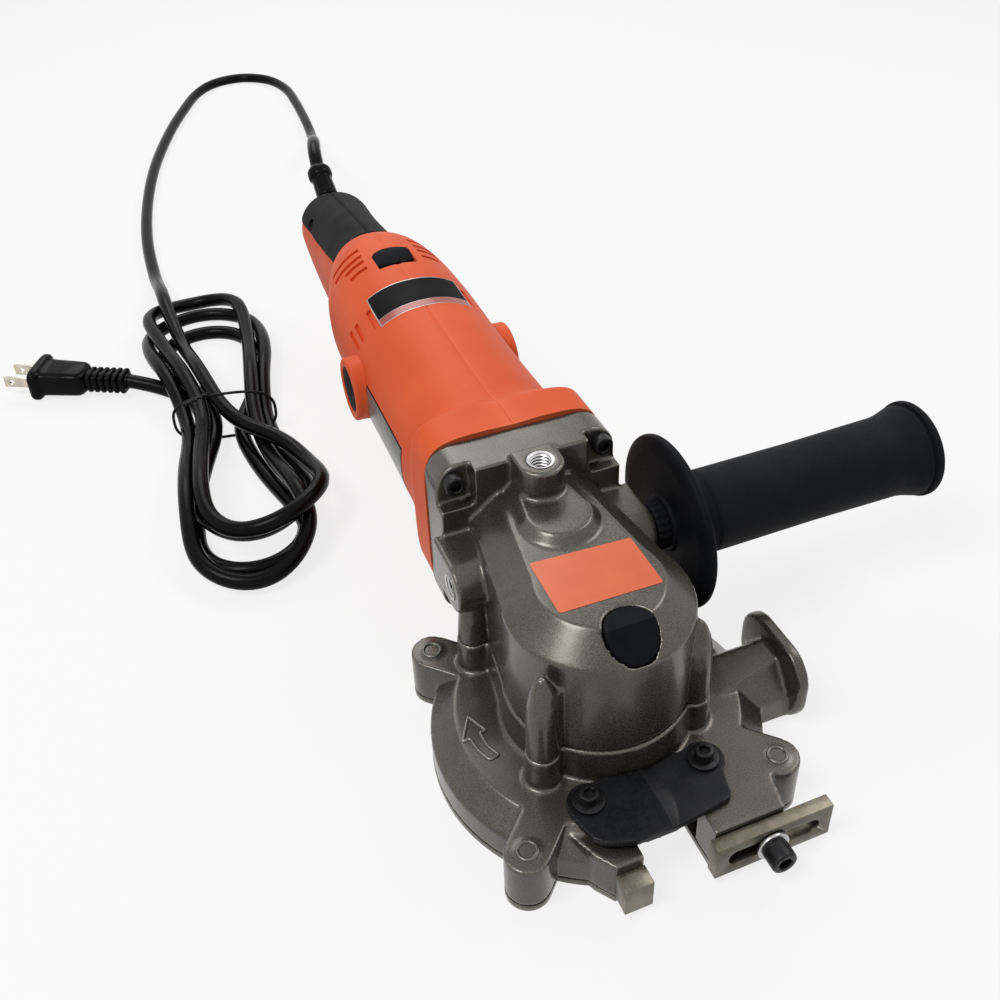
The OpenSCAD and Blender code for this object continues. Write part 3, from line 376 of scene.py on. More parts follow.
def bevelCopy(name, node, width, finish):
    bm = copyNode(node)
    bmesh.ops.dissolve_limit(bm, angle_limit=math.radians(1), verts=bm.verts, edges=bm.edges)
    piece = fromBm(name, bm, finish)
    finishEdges(piece, width, 2)
    return piece


# node trees for what repeats and what follows a path
def newTree(name, inputs):
    tree = bpy.data.node_groups.new(name, "GeometryNodeTree")
    tree.interface.new_socket(name="Geometry", in_out="OUTPUT", socket_type="NodeSocketGeometry")
    sockets = {}
    for label, kind in [("Geometry", "NodeSocketGeometry")] + inputs:
        sockets[label] = tree.interface.new_socket(name=label, in_out="INPUT", socket_type=kind).identifier
    return tree, sockets, tree.nodes.new("NodeGroupInput"), tree.nodes.new("NodeGroupOutput")


def finishTree(tree, shape, start, end):
    real = addNode(tree, "GeometryNodeRealizeInstances", {"Geometry": shape})
    paint = addNode(tree, "GeometryNodeSetMaterial", {"Geometry": real.outputs["Geometry"],
                                                      "Material": start.outputs["Finish"]})
    tree.links.new(paint.outputs["Geometry"], end.inputs["Geometry"])


def makeRepeatTree():
    tree, sockets, start, end = newTree("repeatPart", [
        ("Part", "NodeSocketObject"), ("Size", "NodeSocketFloat"), ("Finish", "NodeSocketMaterial")])
    part = addNode(tree, "GeometryNodeObjectInfo", {"Object": start.outputs["Part"]})
    attitude = addNode(tree, "GeometryNodeInputNamedAttribute", {"Name": "attitude"},
                       data_type="FLOAT_VECTOR")
    euler = addNode(tree, "FunctionNodeEulerToRotation", {"Euler": attitude.outputs["Attribute"]})
    spread = addNode(tree, "GeometryNodeInstanceOnPoints", {
        "Points": start.outputs["Geometry"], "Instance": part.outputs["Geometry"],
        "Rotation": euler.outputs["Rotation"], "Scale": start.outputs["Size"]})
    finishTree(tree, spread.outputs["Instances"], start, end)
    return tree, sockets


def makeSweepTree():
    tree, sockets, start, end = newTree("sweepPath", [
        ("Radius", "NodeSocketFloat"), ("Sides", "NodeSocketInt"), ("Finish", "NodeSocketMaterial")])
    path = addNode(tree, "GeometryNodeMeshToCurve", {"Mesh": start.outputs["Geometry"]})
    ring = addNode(tree, "GeometryNodeCurvePrimitiveCircle", {"Radius": start.outputs["Radius"],
                                                              "Resolution": start.outputs["Sides"]})
    tube = addNode(tree, "GeometryNodeCurveToMesh", {
        "Curve": path.outputs["Curve"], "Profile Curve": ring.outputs["Curve"], "Fill Caps": True})
    finishTree(tree, tube.outputs["Mesh"], start, end)
    return tree, sockets


repeatTree, repeatSockets = makeRepeatTree()
sweepTree, sweepSockets = makeSweepTree()


def runTree(piece, tree, sockets, values):
    modifier = piece.modifiers.new("shape", "NODES")
    modifier.node_group = tree
    for label, value in values.items():
        modifier[sockets[label]] = value
    settle(piece)


def repeatPart(name, bm, spots, finish, sharp=35):
    # spots are matrices in millimetres
    fixFacing(bm)
    part = fromBm(name + "Part", bm, finish)
    mesh = bpy.data.meshes.new(name)
    mesh.from_pydata([s.translation * mm for s in spots], [], [])
    lean = mesh.attributes.new("attitude", "FLOAT_VECTOR", "POINT")
    lean.data.foreach_set("vector", [v for s in spots for v in s.to_euler()])
    piece = newPiece(mesh, finish)
    runTree(piece, repeatTree, repeatSockets, {"Part": part, "Size": 1.0, "Finish": finishes[finish]})
    bpy.data.objects.remove(part)
    shadeSmooth(piece, sharp)
    return piece


def sweepPath(name, lines, radius, finish, sides=10, closed=False):
    verts, edges = [], []
    for line in lines:
        base = len(verts)
        verts += [Vector(p) * mm for p in line]
        edges += [(base + i, base + i + 1) for i in range(len(line) - 1)]
        if closed:
            edges.append((base + len(line) - 1, base))
    mesh = bpy.data.meshes.new(name)
    mesh.from_pydata(verts, edges, [])
    piece = newPiece(mesh, finish)
    runTree(piece, sweepTree, sweepSockets, {"Radius": radius * mm, "Sides": sides,
                                             "Finish": finishes[finish]})
    shadeSmooth(piece, 50)
    return piece


# power cord: the free route, then four turns of the hank from fold to fold
cordLook = {
    "diameter": 8.2, "step": 3.0, "between": 24, "floor": 4.4, "gap": 1.02, "hump": 60.0, "ease": 10,
    "foldSteps": 6, "foldPast": 0.1, "lead": 20, "sameStrand": 8, "rounds": 14, "settle": 30, "last": 6,
    "free": [(0, 399.6, 86.2), (1.8, 412.5, 91.6), (5.6, 430.5, 91), (11.4, 459, 80), (21.6, 511, 57),
        (33, 567, 35), (43.3, 618.6, 15), (50.4, 654, 5), (54.5, 692, 4.4), (57.5, 741, 4.4),
        (57.5, 782, 4.4), (48, 813, 4.4), (27, 830, 4.4), (1, 827, 4.4), (-20, 806, 4.4), (-39, 767, 4.4),
        (-59, 717, 4.4), (-80, 651, 4.4), (-95, 584, 4.4), (-104, 522, 4.4), (-107, 468, 4.4)],
    "footFolds": [(-91, 184, 29), (-102, 165, 28), (-95, 195, 27.5), (-101, 173, 26)],
    "topFolds": [(-92, 383, 28), (-91, 364, 33), (-92, 347, 27)],
    "down": [
        [(-107, 425), (-107, 392), (-105, 356), (-103, 321), (-100, 292), (-95, 266), (-84, 242), (-69, 221)],
        [(-67, 345), (-73, 305), (-80, 264), (-80, 225)],
        [(-60, 330), (-68, 298), (-74, 262), (-71, 226)],
        [(-66, 318), (-77, 290), (-89, 262), (-86, 222)]],
    "up": [
        [(-115, 222), (-107, 264), (-108, 292), (-115, 340)],
        [(-124, 215), (-116, 262), (-117, 300), (-123, 335)],
        [(-113, 228), (-101, 266), (-106, 298), (-117, 326)],
        [(-121, 214), (-110, 258), (-106, 284), (-109, 300)]],
    "tail": [(-117, 313, 4.4), (-128, 322, 6.5), (-140, 329, 9.8)]}


def foldArc(fold, first, last):
    x, y, r = fold
    steps = cordLook["foldSteps"]
    angles = [first + (last - first) * k / steps for k in range(steps + 1)]
    return [(x + r * math.cos(a), y + r * math.sin(a)) for a in angles]


def smoothRoute(points, step):
    points = np.array(points, float)
    ends = len(points) - 1
    out = []
    for i in range(ends):
        a, b, c, d = (points[min(max(k, 0), ends)] for k in (i - 1, i, i + 1, i + 2))
        for u in np.arange(0, 1, 1 / cordLook["between"]):
            out.append(0.5 * (2 * b + (c - a) * u + (2 * a - 5 * b + 4 * c - d) * u ** 2
                              + (3 * b - a - 3 * c + d) * u ** 3))
    out = np.array(out + [points[-1]])
    run = np.r_[0, np.cumsum(np.linalg.norm(np.diff(out, axis=0), axis=1))]
    even = np.linspace(0, run[-1], int(round(run[-1] / step)) + 1)
    return np.stack([np.interp(even, run, out[:, k]) for k in range(3)], 1)


def eased(values):
    return (values[:-2] + 2 * values[1:-1] + values[2:]) / 4


def layCord():
    look = cordLook
    plan = []
    past = look["foldPast"]
    for k, strand in enumerate(look["down"]):
        plan += strand + foldArc(look["footFolds"][k], past, -math.pi - past) + look["up"][k]
        if k < len(look["topFolds"]):
            plan += foldArc(look["topFolds"][k], math.pi + past, -past)
    points = look["free"] + [(x, y, look["floor"]) for x, y in plan] + look["tail"]
    route = smoothRoute(points, look["step"])
    start = int(np.argmin(np.linalg.norm(route - np.array(look["free"][-2]), axis=1)))
    for k in range(look["ease"]):
        route[start:-3, :2] = eased(route[start - 1:-2, :2])
    # a strand lies on every later strand that it crosses, in a long low hump
    pile = route[start - look["lead"]:]
    count = np.arange(len(pile))
    apart = np.linalg.norm(pile[:, None, :2] - pile[None, :, :2], axis=2)
    gap = look["diameter"] * look["gap"]
    over = (apart < gap) & (count[None, :] - count[:, None] > look["sameStrand"])
    lift = np.where(over, np.sqrt(np.maximum(gap ** 2 - apart ** 2, 0)), -1e9)
    arch = -((count[:, None] - count[None, :]) * look["step"]) ** 2 / (2 * look["hump"])
    ground = pile[:, 2].copy()
    height = ground.copy()
    for k in range(look["rounds"]):
        need = np.maximum(ground, (lift + height[None, :]).max(1))
        height = np.maximum((need[None, :] + arch).max(1), ground)
        for j in range(look["settle"]):
            height[1:-1] = eased(height)
            height = np.maximum(height, need)
    for j in range(look["last"]):
        height[1:-1] = eased(height)
    pile[:, 2] = height
    return route


def makeCord():
    route = layCord()
    data = bpy.data.curves.new("powerCord", "CURVE")
    data.dimensions = "3D"
    data.bevel_depth = cordLook["diameter"] / 2 * mm
    data.bevel_resolution = 3
    data.use_fill_caps = True
    line = data.splines.new("POLY")
    line.points.add(len(route) - 1)
    line.points.foreach_set("co", np.c_[route * mm, np.ones(len(route))].ravel())
    line.use_smooth = True
    piece = place(newPiece(data, "cord"), "cord_rubber", "power_cord", "cord_hank")
    length = float(np.linalg.norm(np.diff(route, axis=0), axis=1).sum()) * mm
    return piece, length


powerCord, cordLength = makeCord()
print("cord laid:", round(cordLength, 3), "m")

# plug: ribbed strain relief, block, flared face, two flat blades
plugLook = {
    "heading": 151, "ribs": 6, "ribPitch": 3.9, "ribStart": 1.6,
    "rib": [(-1.35, 5.2, 4.8), (-1.1, 6.4, 5.6), (-0.6, 6.8, 6), (0.6, 6.8, 6), (1.1, 6.4, 5.6),
        (1.35, 5.2, 4.8)],
    "ribSquare": 4, "core": (-1, 0, 23.5), "coreWide": (4.7, 0.05), "coreHigh": (4.4, 0.04),
    "coreSquare": 2.2, "bladeEdge": 0.35,
    "block": [(22.5, 4.5, 4.2, 2.4), (24, 7.4, 6, 3), (25.5, 9, 7, 3.6), (27.5, 9.6, 7.5, 4.2),
        (36, 10, 7.6, 4.5), (45, 10.4, 7.7, 4.5), (48.2, 10.8, 7.9, 4.5), (49.4, 12.4, 9, 5),
        (50.3, 13.2, 9.5, 5), (52.6, 13.4, 9.6, 5), (53.8, 13, 9.2, 5), (54.4, 11.8, 8.2, 5)]}


def roundBox(at, halfWide, halfHigh, square, count=48):
    ring = []
    for i in range(count):
        c, s = math.cos(turn * i / count), math.sin(turn * i / count)
        ring.append((at, halfWide * math.copysign(abs(c) ** (2 / square), c),
                     halfHigh * math.copysign(abs(s) ** (2 / square), s)))
    return ring


def cappedRings(bm, rings, spot=Matrix.Identity(4)):
    # the loft closes to a point in the middle of each end
    first, last = ([(ring[0][0], 0, 0)] for ring in (rings[0], rings[-1]))
    stackRings(bm, [first] + rings + [last], spot)


def makePlug():
    look = plugLook
    spot = upright(*cordLook["tail"][-1]) @ Matrix.Rotation(math.radians(look["heading"]), 4, "Z")
    bm = bmesh.new()
    cappedRings(bm, [roundBox(*row) for row in look["block"]], spot)
    (wide, widen), (high, rise) = look["coreWide"], look["coreHigh"]
    cappedRings(bm, [roundBox(at, wide + at * widen, high + at * rise, look["coreSquare"])
                     for at in look["core"]], spot)
    body = solidPiece("plugBody", bm, "cord", 45)
    rib = bmesh.new()
    cappedRings(rib, [roundBox(*row, look["ribSquare"]) for row in look["rib"]])
    spots = [spot @ Matrix.Translation((look["ribStart"] + k * look["ribPitch"], 0, 0))
             for k in range(look["ribs"])]
    ribs = repeatPart("plugRibs", rib, spots, "cord", 45)
    blades = bevelCopy("plugBlades", "plug_blades", look["bladeEdge"], "plugMetal")
    place(body, "cord_rubber", "plug_body")
    place(ribs, "cord_rubber")
    place(blades, "plug_metal", "plug_blades")
    return [body, ribs, blades]


plugPieces = makePlug()

# wire tie round the waist of the hank, its twisted ends on top
tieLook = {
    "centre": (-95.5, 264, 14.6), "half": (26.5, 14.2), "lean": 0.18, "radius": 0.8, "points": 72,
    "square": 0.7, "endFoot": (-6, 2, 0.8), "endRadius": 0.9, "endTurn": 0.8, "endStep": (-0.75, -0.5, 0.12),
    "endPoints": 20, "endThin": 0.8}


def makeTie():
    look = tieLook
    x, y, z = look["centre"]
    wide, tall = look["half"]
    loop = []
    for i in range(look["points"]):
        a = turn * i / look["points"]
        c, s = math.cos(a), math.sin(a)
        across = wide * math.copysign(abs(c) ** look["square"], c)
        high = max(z + tall * math.copysign(abs(s) ** look["square"], s), look["radius"])
        loop.append((x + across, y - across * look["lean"], high))
    (fx, fy, fz), (dx, dy, dz), r = look["endFoot"], look["endStep"], look["endRadius"]
    ends = [[], []]
    for end, side in zip(ends, (0, math.pi)):
        for k in range(look["endPoints"]):
            a = side + k * look["endTurn"]
            end.append((x + fx + r * math.cos(a) + k * dx, y + fy + r * math.sin(a) + k * dy,
                        z + tall + fz + dz * k))
    ring = sweepPath("hankTie", [loop], look["radius"], "tie", closed=True)
    tails = sweepPath("hankTieEnds", ends, look["radius"] * look["endThin"], "tie")
    place(ring, "tie_plastic", "cord_tie")
    place(tails, "tie_plastic")
    return [ring, tails]


tiePieces = makeTie()
print("plug and tie made")

# cord boot: ribbed sleeve with a bulged mouth
bootLook = {
    "foot": (0, 361.5, 64.2), "tilt": 30, "ribs": 12, "ribDepth": 0.3, "ribbed": (22.6, 35.2), "ribFade": 2,
    "corner": 1.2, "step": 1.2, "around": 84,
    "profile": [(0, 0), (7.2, 0), (7.2, 8), (5.2, 9.4), (5.2, 20.6), (6.6, 21.8), (6, 35.6), (7.3, 37),
        (7.5, 39.5), (7.3, 42), (5.4, 44.5), (4.3, 44.5), (4.3, 43), (0, 43)]}


def makeBoot():
    look = bootLook
    spot = upright(*look["foot"]) @ Matrix.Rotation(math.radians(look["tilt"] - 90), 4, "X")

    def ripple(r, h, a):
        first, last = look["ribbed"]
        if not first < h < last:
            return r
        fade = min(1, (h - first) / look["ribFade"], (last - h) / look["ribFade"])
        return r - look["ribDepth"] * fade * (0.5 + 0.5 * math.cos(a * look["ribs"]))

    profile = splitProfile(roundCorners(look["profile"], look["corner"], closed=False), look["step"])
    piece = turnedPiece("cordBoot", profile, spot, look["around"], "cord", ripple=ripple)
    place(piece, "cord_rubber", "cord_boot")


makeBoot()

# castings
castLook = {
    "voxel": 0.8, "rounds": 5, "markAngles": (45, 135, 225, 315), "markRing": 71, "markTop": 23.0,
    "markRadius": 3.5, "markHalf": (0.75, 0.55), "markSides": 10, "markAround": 40,
    "arrowTop": 22.6, "arrowWire": 0.75, "arrowRound": 0.9,
    "arrow": [(-48.6, 12.2), (-54.6, 2.0), (-51.6, 2.4), (-50.6, -4.2), (-48.2, -9.6), (-44.2, -9.0),
        (-46.6, -3.6), (-47.2, 3.2), (-44.6, 3.6)]}


def makeCastings():
    look = castLook
    for name, node in (("bladeCase", "blade_case"), ("gearCase", "gear_case")):
        piece = castCopy(name, node, look["voxel"], look["rounds"], "cast")
        place(piece, "cast_aluminium", node)
    mark = bmesh.new()
    wide, high = look["markHalf"]
    angles = [turn * k / look["markSides"] for k in range(look["markSides"])]
    section = [(look["markRadius"] + wide * math.cos(a), high * math.sin(a)) for a in angles]
    turned(mark, section, Matrix.Identity(4), look["markAround"], closed=True)
    spots = []
    for angle in look["markAngles"]:
        a = math.radians(angle)
        spots.append(upright(look["markRing"] * math.cos(a), look["markRing"] * math.sin(a), look["markTop"]))
    place(repeatPart("lugMarks", mark, spots, "cast", 60), "cast_aluminium")
    line = [(x, y, look["arrowTop"]) for x, y in roundCorners(look["arrow"], look["arrowRound"], 3)]
    arrow = sweepPath("turnArrow", [line], look["arrowWire"], "cast", 8, closed=True)
    place(arrow, "cast_aluminium")


makeCastings()
print("castings made")

# motor body: two halves lofted through stations of y, half width, top, bottom, squareness, wall,
# and for the tail the height where it is widest and the squareness below that
bodyLook = {
    "stations": [
        (80, 39, 103, 23.5, 6, 3.6), (97, 39, 103, 23.5, 6, 3.6),
        (100, 38.4, 102, 24.2, 4.4, 3.4), (104, 37.6, 100.5, 25, 2.6, 3.2),
        (112, 37.2, 100.1, 25.1, 2.3, 3.2), (160, 36.6, 99.9, 25.5, 2.2, 3.2),
        (200, 36.8, 100.6, 26, 2.2, 3.2), (222, 36.2, 101.8, 27, 2.2, 3.2),
        (242, 35.2, 101.8, 28.5, 2.2, 3.2), (255, 33.4, 101.5, 30.6, 2.2, 3.2),
        (268, 30.2, 100.2, 33.4, 2.2, 3.2), (279, 26.6, 97, 36.2, 2.2, 3.2),
        (285, 24.4, 94.3, 37.4, 2.2, 3.2), (287, 23.6, 93.6, 37.6, 2.1, 3.2, 52, 2.4),
        (310, 22.8, 90.4, 38.4, 2.1, 3, 51, 2.4), (328, 22.2, 88, 41.4, 2.1, 3, 51.5, 2.4),
        (344, 21.8, 85.6, 46.6, 2.1, 3, 54, 2.4), (357, 21.6, 83.6, 52, 2.1, 3, 57.5, 2.4),
        (366, 21.2, 82.2, 56, 2.1, 3, 60.5, 2.4), (371, 19.9, 81.3, 58, 2.1, 3, 62.5, 2.3),
        (374, 17.2, 80.3, 60, 2.1, 3, 65, 2.2), (375.6, 13.6, 79.3, 62.4, 2, 2.6, 68, 2),
        (376.2, 10.4, 78.4, 64.2, 2, 2.4, 70, 2)],
    "spacing": 1.1, "around": 120, "seam": 0.5, "seamAngle": 0.004, "halfGap": 0.05, "ends": (80, 374, 376.2),
    "padStart": 286, "padStep": (285.6, 286.4), "padDepth": 1.8, "padClear": 1.2,
    "padEdge": ((287, 300, 350, 360, 371, 376), (35, 33.5, 26, 22, 16, 14)), "cutDepth": 1.5, "cutReach": 3.0,
    "cuts": [(257.6, 260.6, 31, 68), (250.0, 253.0, 33, 68), (244.0, 247.0, 47, 68), (236.8, 239.8, 50, 68),
        (191.5, 206.5, 48.3, 52.9), (193.5, 208, 32.8, 37.4), (194, 210, 24.5, 28.5)],
    "brushY": 190, "motorZ": 62.5, "boss": [(0, 31), (16.2, 31), (15.5, 38), (15.5, 41.7), (0, 41.7)],
    "bore": [(0, 24), (8, 24), (8, 36.5), (11.3, 36.5), (11.3, 41.2), (11.9, 41.8), (11.9, 44), (0, 44)],
    "screws": [(212, 35, 22), (262, 46, 18), (300, 54, 17), (352, 73, 11.4)], "screwHole": 3.4,
    "screwSeat": 6, "outside": 44, "bossRound": 1.3, "bossAround": 72, "boreAround": 64, "holeAround": 32,
    "endRows": 6, "cutStep": 2}
bothHands = ((1, "right"), (-1, "left"))
stationTable = np.array([row if len(row) > 6 else row + ((row[2] + row[3]) / 2, row[4])
                         for row in bodyLook["stations"]], float)


def stationAt(y):
    # smooth, with no overshoot between stations
    ys = stationTable[:, 0]
    gaps = np.diff(ys)
    out = []
    for col in range(1, 8):
        v = stationTable[:, col]
        rise = np.diff(v) / gaps
        slope = np.zeros(len(v))
        before, after = rise[:-1], rise[1:]
        total = np.where(before + after == 0, 1, before + after)
        slope[1:-1] = np.where(before * after > 0, 2 * before * after / total, 0)
        slope[0], slope[-1] = rise[0], rise[-1]
        k = np.clip(np.searchsorted(ys, y, side="right") - 1, 0, len(gaps) - 1)
        h = gaps[k]
        u = (y - ys[k]) / h
        out.append((1 + 2 * u) * (1 - u) ** 2 * v[k] + u * (1 - u) ** 2 * h * slope[k]
                   + u * u * (3 - 2 * u) * v[k + 1] + u * u * (u - 1) * h * slope[k + 1])
    return out


def bodyGrid(ys, angles, off):
    # off is a number or an array over rows and columns
    w, top, low, square, _, widest, under = (c[:, None] for c in stationAt(ys))
    angles = np.atleast_2d(angles)
    c, s = np.cos(angles), np.sin(angles)
    power = 2 / np.where(s > 0, square, under)
    reach = np.where(s > 0, top - widest, widest - low) + off
    x = (w + off) * np.sign(c) * np.abs(c) ** power
    z = widest + reach * np.sign(s) * np.abs(s) ** power
    y = np.broadcast_to(ys[:, None], x.shape)
    return np.stack([x, y, z], 2)


def makeShell(outer, inner, bm=None):
    rows, cols = outer.shape[:2]
    bm = bm or bmesh.new()
    skins = []
    for grid in (outer, inner):
        skins.append([[bm.verts.new(Vector(p) * mm) for p in row] for row in grid])
    a, b = skins
    for i in range(rows - 1):
        for j in range(cols - 1):
            bm.faces.new([a[i][j], a[i + 1][j], a[i + 1][j + 1], a[i][j + 1]])
            bm.faces.new([b[i][j], b[i][j + 1], b[i + 1][j + 1], b[i + 1][j]])
    for i in range(rows - 1):
        bm.faces.new([a[i][0], b[i][0], b[i + 1][0], a[i + 1][0]])
        bm.faces.new([a[i][-1], a[i + 1][-1], b[i + 1][-1], b[i][-1]])
    for j in range(cols - 1):
        bm.faces.new([a[0][j], a[0][j + 1], b[0][j + 1], b[0][j]])
        bm.faces.new([a[-1][j], b[-1][j], b[-1][j + 1], a[-1][j + 1]])
    return bm


def combine(piece, other, action):
    tool = piece.modifiers.new("join", "BOOLEAN")
    tool.operation = action
    tool.solver = "EXACT"
    tool.object = other
    settle(piece)
    bpy.data.objects.remove(other)


def sideGrids(ys, angles, offs, side, split):
    # offsets of the body on one side, clear of the seam where it is split
    grids = [bodyGrid(ys, angles, off) for off in offs]
    for grid in grids:
        if split:
            grid[..., 0] = np.maximum(grid[..., 0], bodyLook["halfGap"])
        grid[..., 0] *= side
    return grids


def bodySheet(name, ys, angles, offs, side, finish, split=True):
    bm = makeShell(*sideGrids(ys, angles, offs, side, split))
    bmesh.ops.recalc_face_normals(bm, faces=bm.faces)
    return fromBm(name, bm, finish)


# switch knob and its opening: a D with a flat front, back cut off
knobLook = {
    "half": 10, "front": 231, "back": 250, "reach": 13, "middle": 237, "arc": 16, "clear": 0.4,
    "shows": 237.4, "showsPast": 0.2, "corner": 0.8, "topTrim": 0.1, "slopeAbove": 2, "opening": (90, 110),
    "low": 96.2, "top": 102.2, "slopeFrom": 246, "slope": 0.34,
    "slider": (8, 228, 260, 94.2, 97.2), "stem": (4, 237, 247, 92.4, 95.4), "edge": 0.7}


def knobOutline(inset):
    look = knobLook
    half, reach = look["half"] - inset, look["reach"] - inset
    front, back = look["front"] + inset, look["back"] - inset
    side = math.acos(half / reach)
    pts = [(-half, front), (half, front)]
    for k in range(look["arc"] + 1):
        a = side + (math.pi - 2 * side) * k / look["arc"]
        pts.append((reach * math.cos(a), min(look["middle"] + reach * math.sin(a), back)))
    return pts


def screwHole(deep):
    r, out = bodyLook["screwHole"], bodyLook["outside"]
    return [(0, deep), (r, deep), (r, out), (0, out)]


def makeBody(side, hand):
    look = bodyLook
    name = "body" + hand.title()
    first, blunt, last = look["ends"]
    ys = np.unique(np.r_[np.arange(first, blunt, look["spacing"]), look["padStep"],
                         np.linspace(blunt, last, look["endRows"])])
    angles = np.linspace(-math.pi / 2, math.pi / 2, look["around"] + 1)
    edge = np.minimum(angles + math.pi / 2, math.pi / 2 - angles)
    off = np.zeros((len(ys), len(angles)))
    off[:, edge < look["seamAngle"]] -= look["seam"]
    padFrom = np.radians(look["padClear"] + np.interp(ys, *look["padEdge"]))[:, None]
    padded = (ys[:, None] > look["padStart"]) & (angles[None, :] > padFrom)
    off = np.where(padded, -look["padDepth"], off)
    piece = bodySheet(name, ys, angles, (off, -stationAt(ys)[4][:, None]), side, "orange")
    # brush boss with its bore
    spot = alongX(0, look["brushY"], look["motorZ"], side)
    boss = roundCorners(look["boss"], look["bossRound"], closed=False)
    combine(piece, turnedPiece("boss", boss, spot, look["bossAround"], "orange"), "UNION")
    combine(piece, turnedPiece("bore", look["bore"], spot, look["boreAround"], "orange"), "DIFFERENCE")
    cutter = bmesh.new()
    slab(cutter, knobOutline(0), *knobLook["opening"])
    for y0, y1, a0, a1 in look["cuts"]:
        cutAngles = np.radians(np.linspace(a0, a1, max(2, int((a1 - a0) / look["cutStep"]))))
        offs = look["cutReach"], -look["cutDepth"]
        makeShell(*sideGrids(np.array([y0, y1], float), cutAngles, offs, side, False), cutter)
    for y, z, depth in look["screws"]:
        turned(cutter, screwHole(depth - look["screwSeat"]), alongX(0, y, z, side), look["holeAround"])
    fixFacing(cutter)
    combine(piece, fromBm("cutter", cutter, "orange"), "DIFFERENCE")
    shadeSmooth(piece, 38)
    place(piece, "orange_plastic", "housing_" + hand)
    print(name, len(piece.data.polygons), "faces")


for side, hand in bothHands:
    makeBody(side, hand)


# soft grip over the tail, one half each side of the seam
padLook = {
    "ends": (286.4, 373, 376), "spacing": 1.0, "across": 60, "girth": 22, "rim": 1.6, "sunk": 0.5,
    "crown": 0.65, "seamWide": 1.1, "seamDeep": 1.0, "seat": -1.6, "holeFrom": 4, "endRows": 7}


def makePad(side, hand):
    look = padLook
    first, blunt, last = look["ends"]
    ys = np.unique(np.r_[np.arange(first, blunt, look["spacing"]), np.linspace(blunt, last, look["endRows"])])
    start = np.radians(np.interp(ys, *bodyLook["padEdge"]))[:, None]
    angles = start + (math.pi / 2 - start) * np.linspace(0, 1, look["across"])[None, :]
    # the rim rolls down to the shell at every edge but the seam
    nearY = np.minimum(ys - ys[0], ys[-1] - ys)[:, None]
    nearA = (angles - start) * look["girth"]
    roll = np.clip(np.minimum(nearY, nearA) / look["rim"], 0, 1)
    off = -look["sunk"] + (look["crown"] + look["sunk"]) * np.sqrt(1 - (1 - roll) ** 2)
    seam = np.clip((math.pi / 2 - angles) * look["girth"] / look["seamWide"], 0, 1)
    off = off - look["seamDeep"] * (1 - seam)
    piece = bodySheet("gripPad" + hand.title(), ys, angles, (off, look["seat"]), side, "pad")
    y, z, _ = bodyLook["screws"][-1]
    hole = turnedPiece("hole", screwHole(look["holeFrom"]), alongX(0, y, z, side), bodyLook["holeAround"],
                       "pad")
    combine(piece, hole, "DIFFERENCE")
    shadeSmooth(piece, 40)
    place(piece, "grip_rubber", "grip_pad_" + hand)


for side, hand in bothHands:
    makePad(side, hand)
print("body made")

# blank plates and tag
plateLook = {
    "bandY": (188.4, 214), "bandHalf": math.asin(21.4 / 37) * 1.02, "bandInset": 0.016, "stripe": (0.6, 5.4),
    "label": (5.8, 0.6), "sideY": (121, 176), "sideInset": (1, 0.03),
    "sideAngles": (math.asin(-19.5 / 37.5), math.asin(8.5 / 37.5)), "under": 0.05, "over": 0.12, "thick": 0.5,
    "tag": [(-19.9, 17.4), (20.2, 15.2), (20.2, -10.6), (-20.1, -9.8)], "tagZ": (87.0, 87.46),
    "tagRound": 1.2, "bandGrid": (24, 40), "sideGrid": (40, 24)}


def sheetOn(name, ys, angles, side, lift, finish, slot):
    piece = bodySheet(name, ys, angles, (lift, lift - plateLook["thick"]), side, finish, split=False)
    shadeSmooth(piece, 40)
    place(piece, slot)


def makePlates():
    look = plateLook
    under, over = look["under"], look["over"]
    # the band goes over the seam, so its angles run past the top
    first, last = look["bandY"]
    rows, cols = look["bandGrid"]
    for name, y0, y1, inset, lift, finish, slot in [
            ("bandFrame", first, last, 0.0, under, "plate", "plug_metal"),
            ("bandStripe", first + look["stripe"][0], first + look["stripe"][1], look["bandInset"], over,
             "stripe", "orange_plastic"),
            ("bandLabel", first + look["label"][0], last - look["label"][1], look["bandInset"], over,
             "label", "black_plastic")]:
        half = look["bandHalf"] - inset
        sheetOn(name, np.linspace(y0, y1, rows), np.linspace(math.pi / 2 - half, math.pi / 2 + half, cols), 1,
                lift, finish, slot)
    rows, cols = look["sideGrid"]
    (y0, y1), (a0, a1), (dy, da) = look["sideY"], look["sideAngles"], look["sideInset"]
    sheetOn("sideFrame", np.linspace(y0, y1, rows), np.linspace(a0, a1, cols), -1, under, "label",
            "black_plastic")
    sheetOn("sidePlate", np.linspace(y0 + dy, y1 - dy, rows), np.linspace(a0 + da, a1 - da, cols), -1, over,
            "plate", "plug_metal")
    bm = bmesh.new()
    slab(bm, roundCorners(look["tag"][::-1], look["tagRound"], 3), *look["tagZ"])
    place(solidPiece("topTag", bm, "tag", 40), "orange_plastic")


makePlates()


# socket screws: knurled head, chamfered rim, six-sided socket; sizes are head radius and height,
# width across the socket, shank length and radius
screwLook = {
    "knurl": 0.018, "around": 48, "tip": (0.85, 0.5), "socketRim": 1.2, "socketLead": (1.02, 0.25, 0.5),
    "socketFloor": (0.45, 0.38),
    "head": [(0.97, 0, 0), (1, 0.08, 1), (1, 0.84, 1), (0.985, 0.9, 0), (0.93, 0.98, 0), (0.88, 1, 0)],
    "flap": (3.6, 4, 3.6, 8, 2), "flapX": 23.2, "flapY": -42.2, "flapTop": 26.6,
    "flange": (4.25, 5, 4.2, 28, 2.5), "flangeHalf": 31.6, "seatY": 66,
    "stop": (5, 7.4, 5, 14, 3), "stopAt": (33, -76.7, 11.95)}


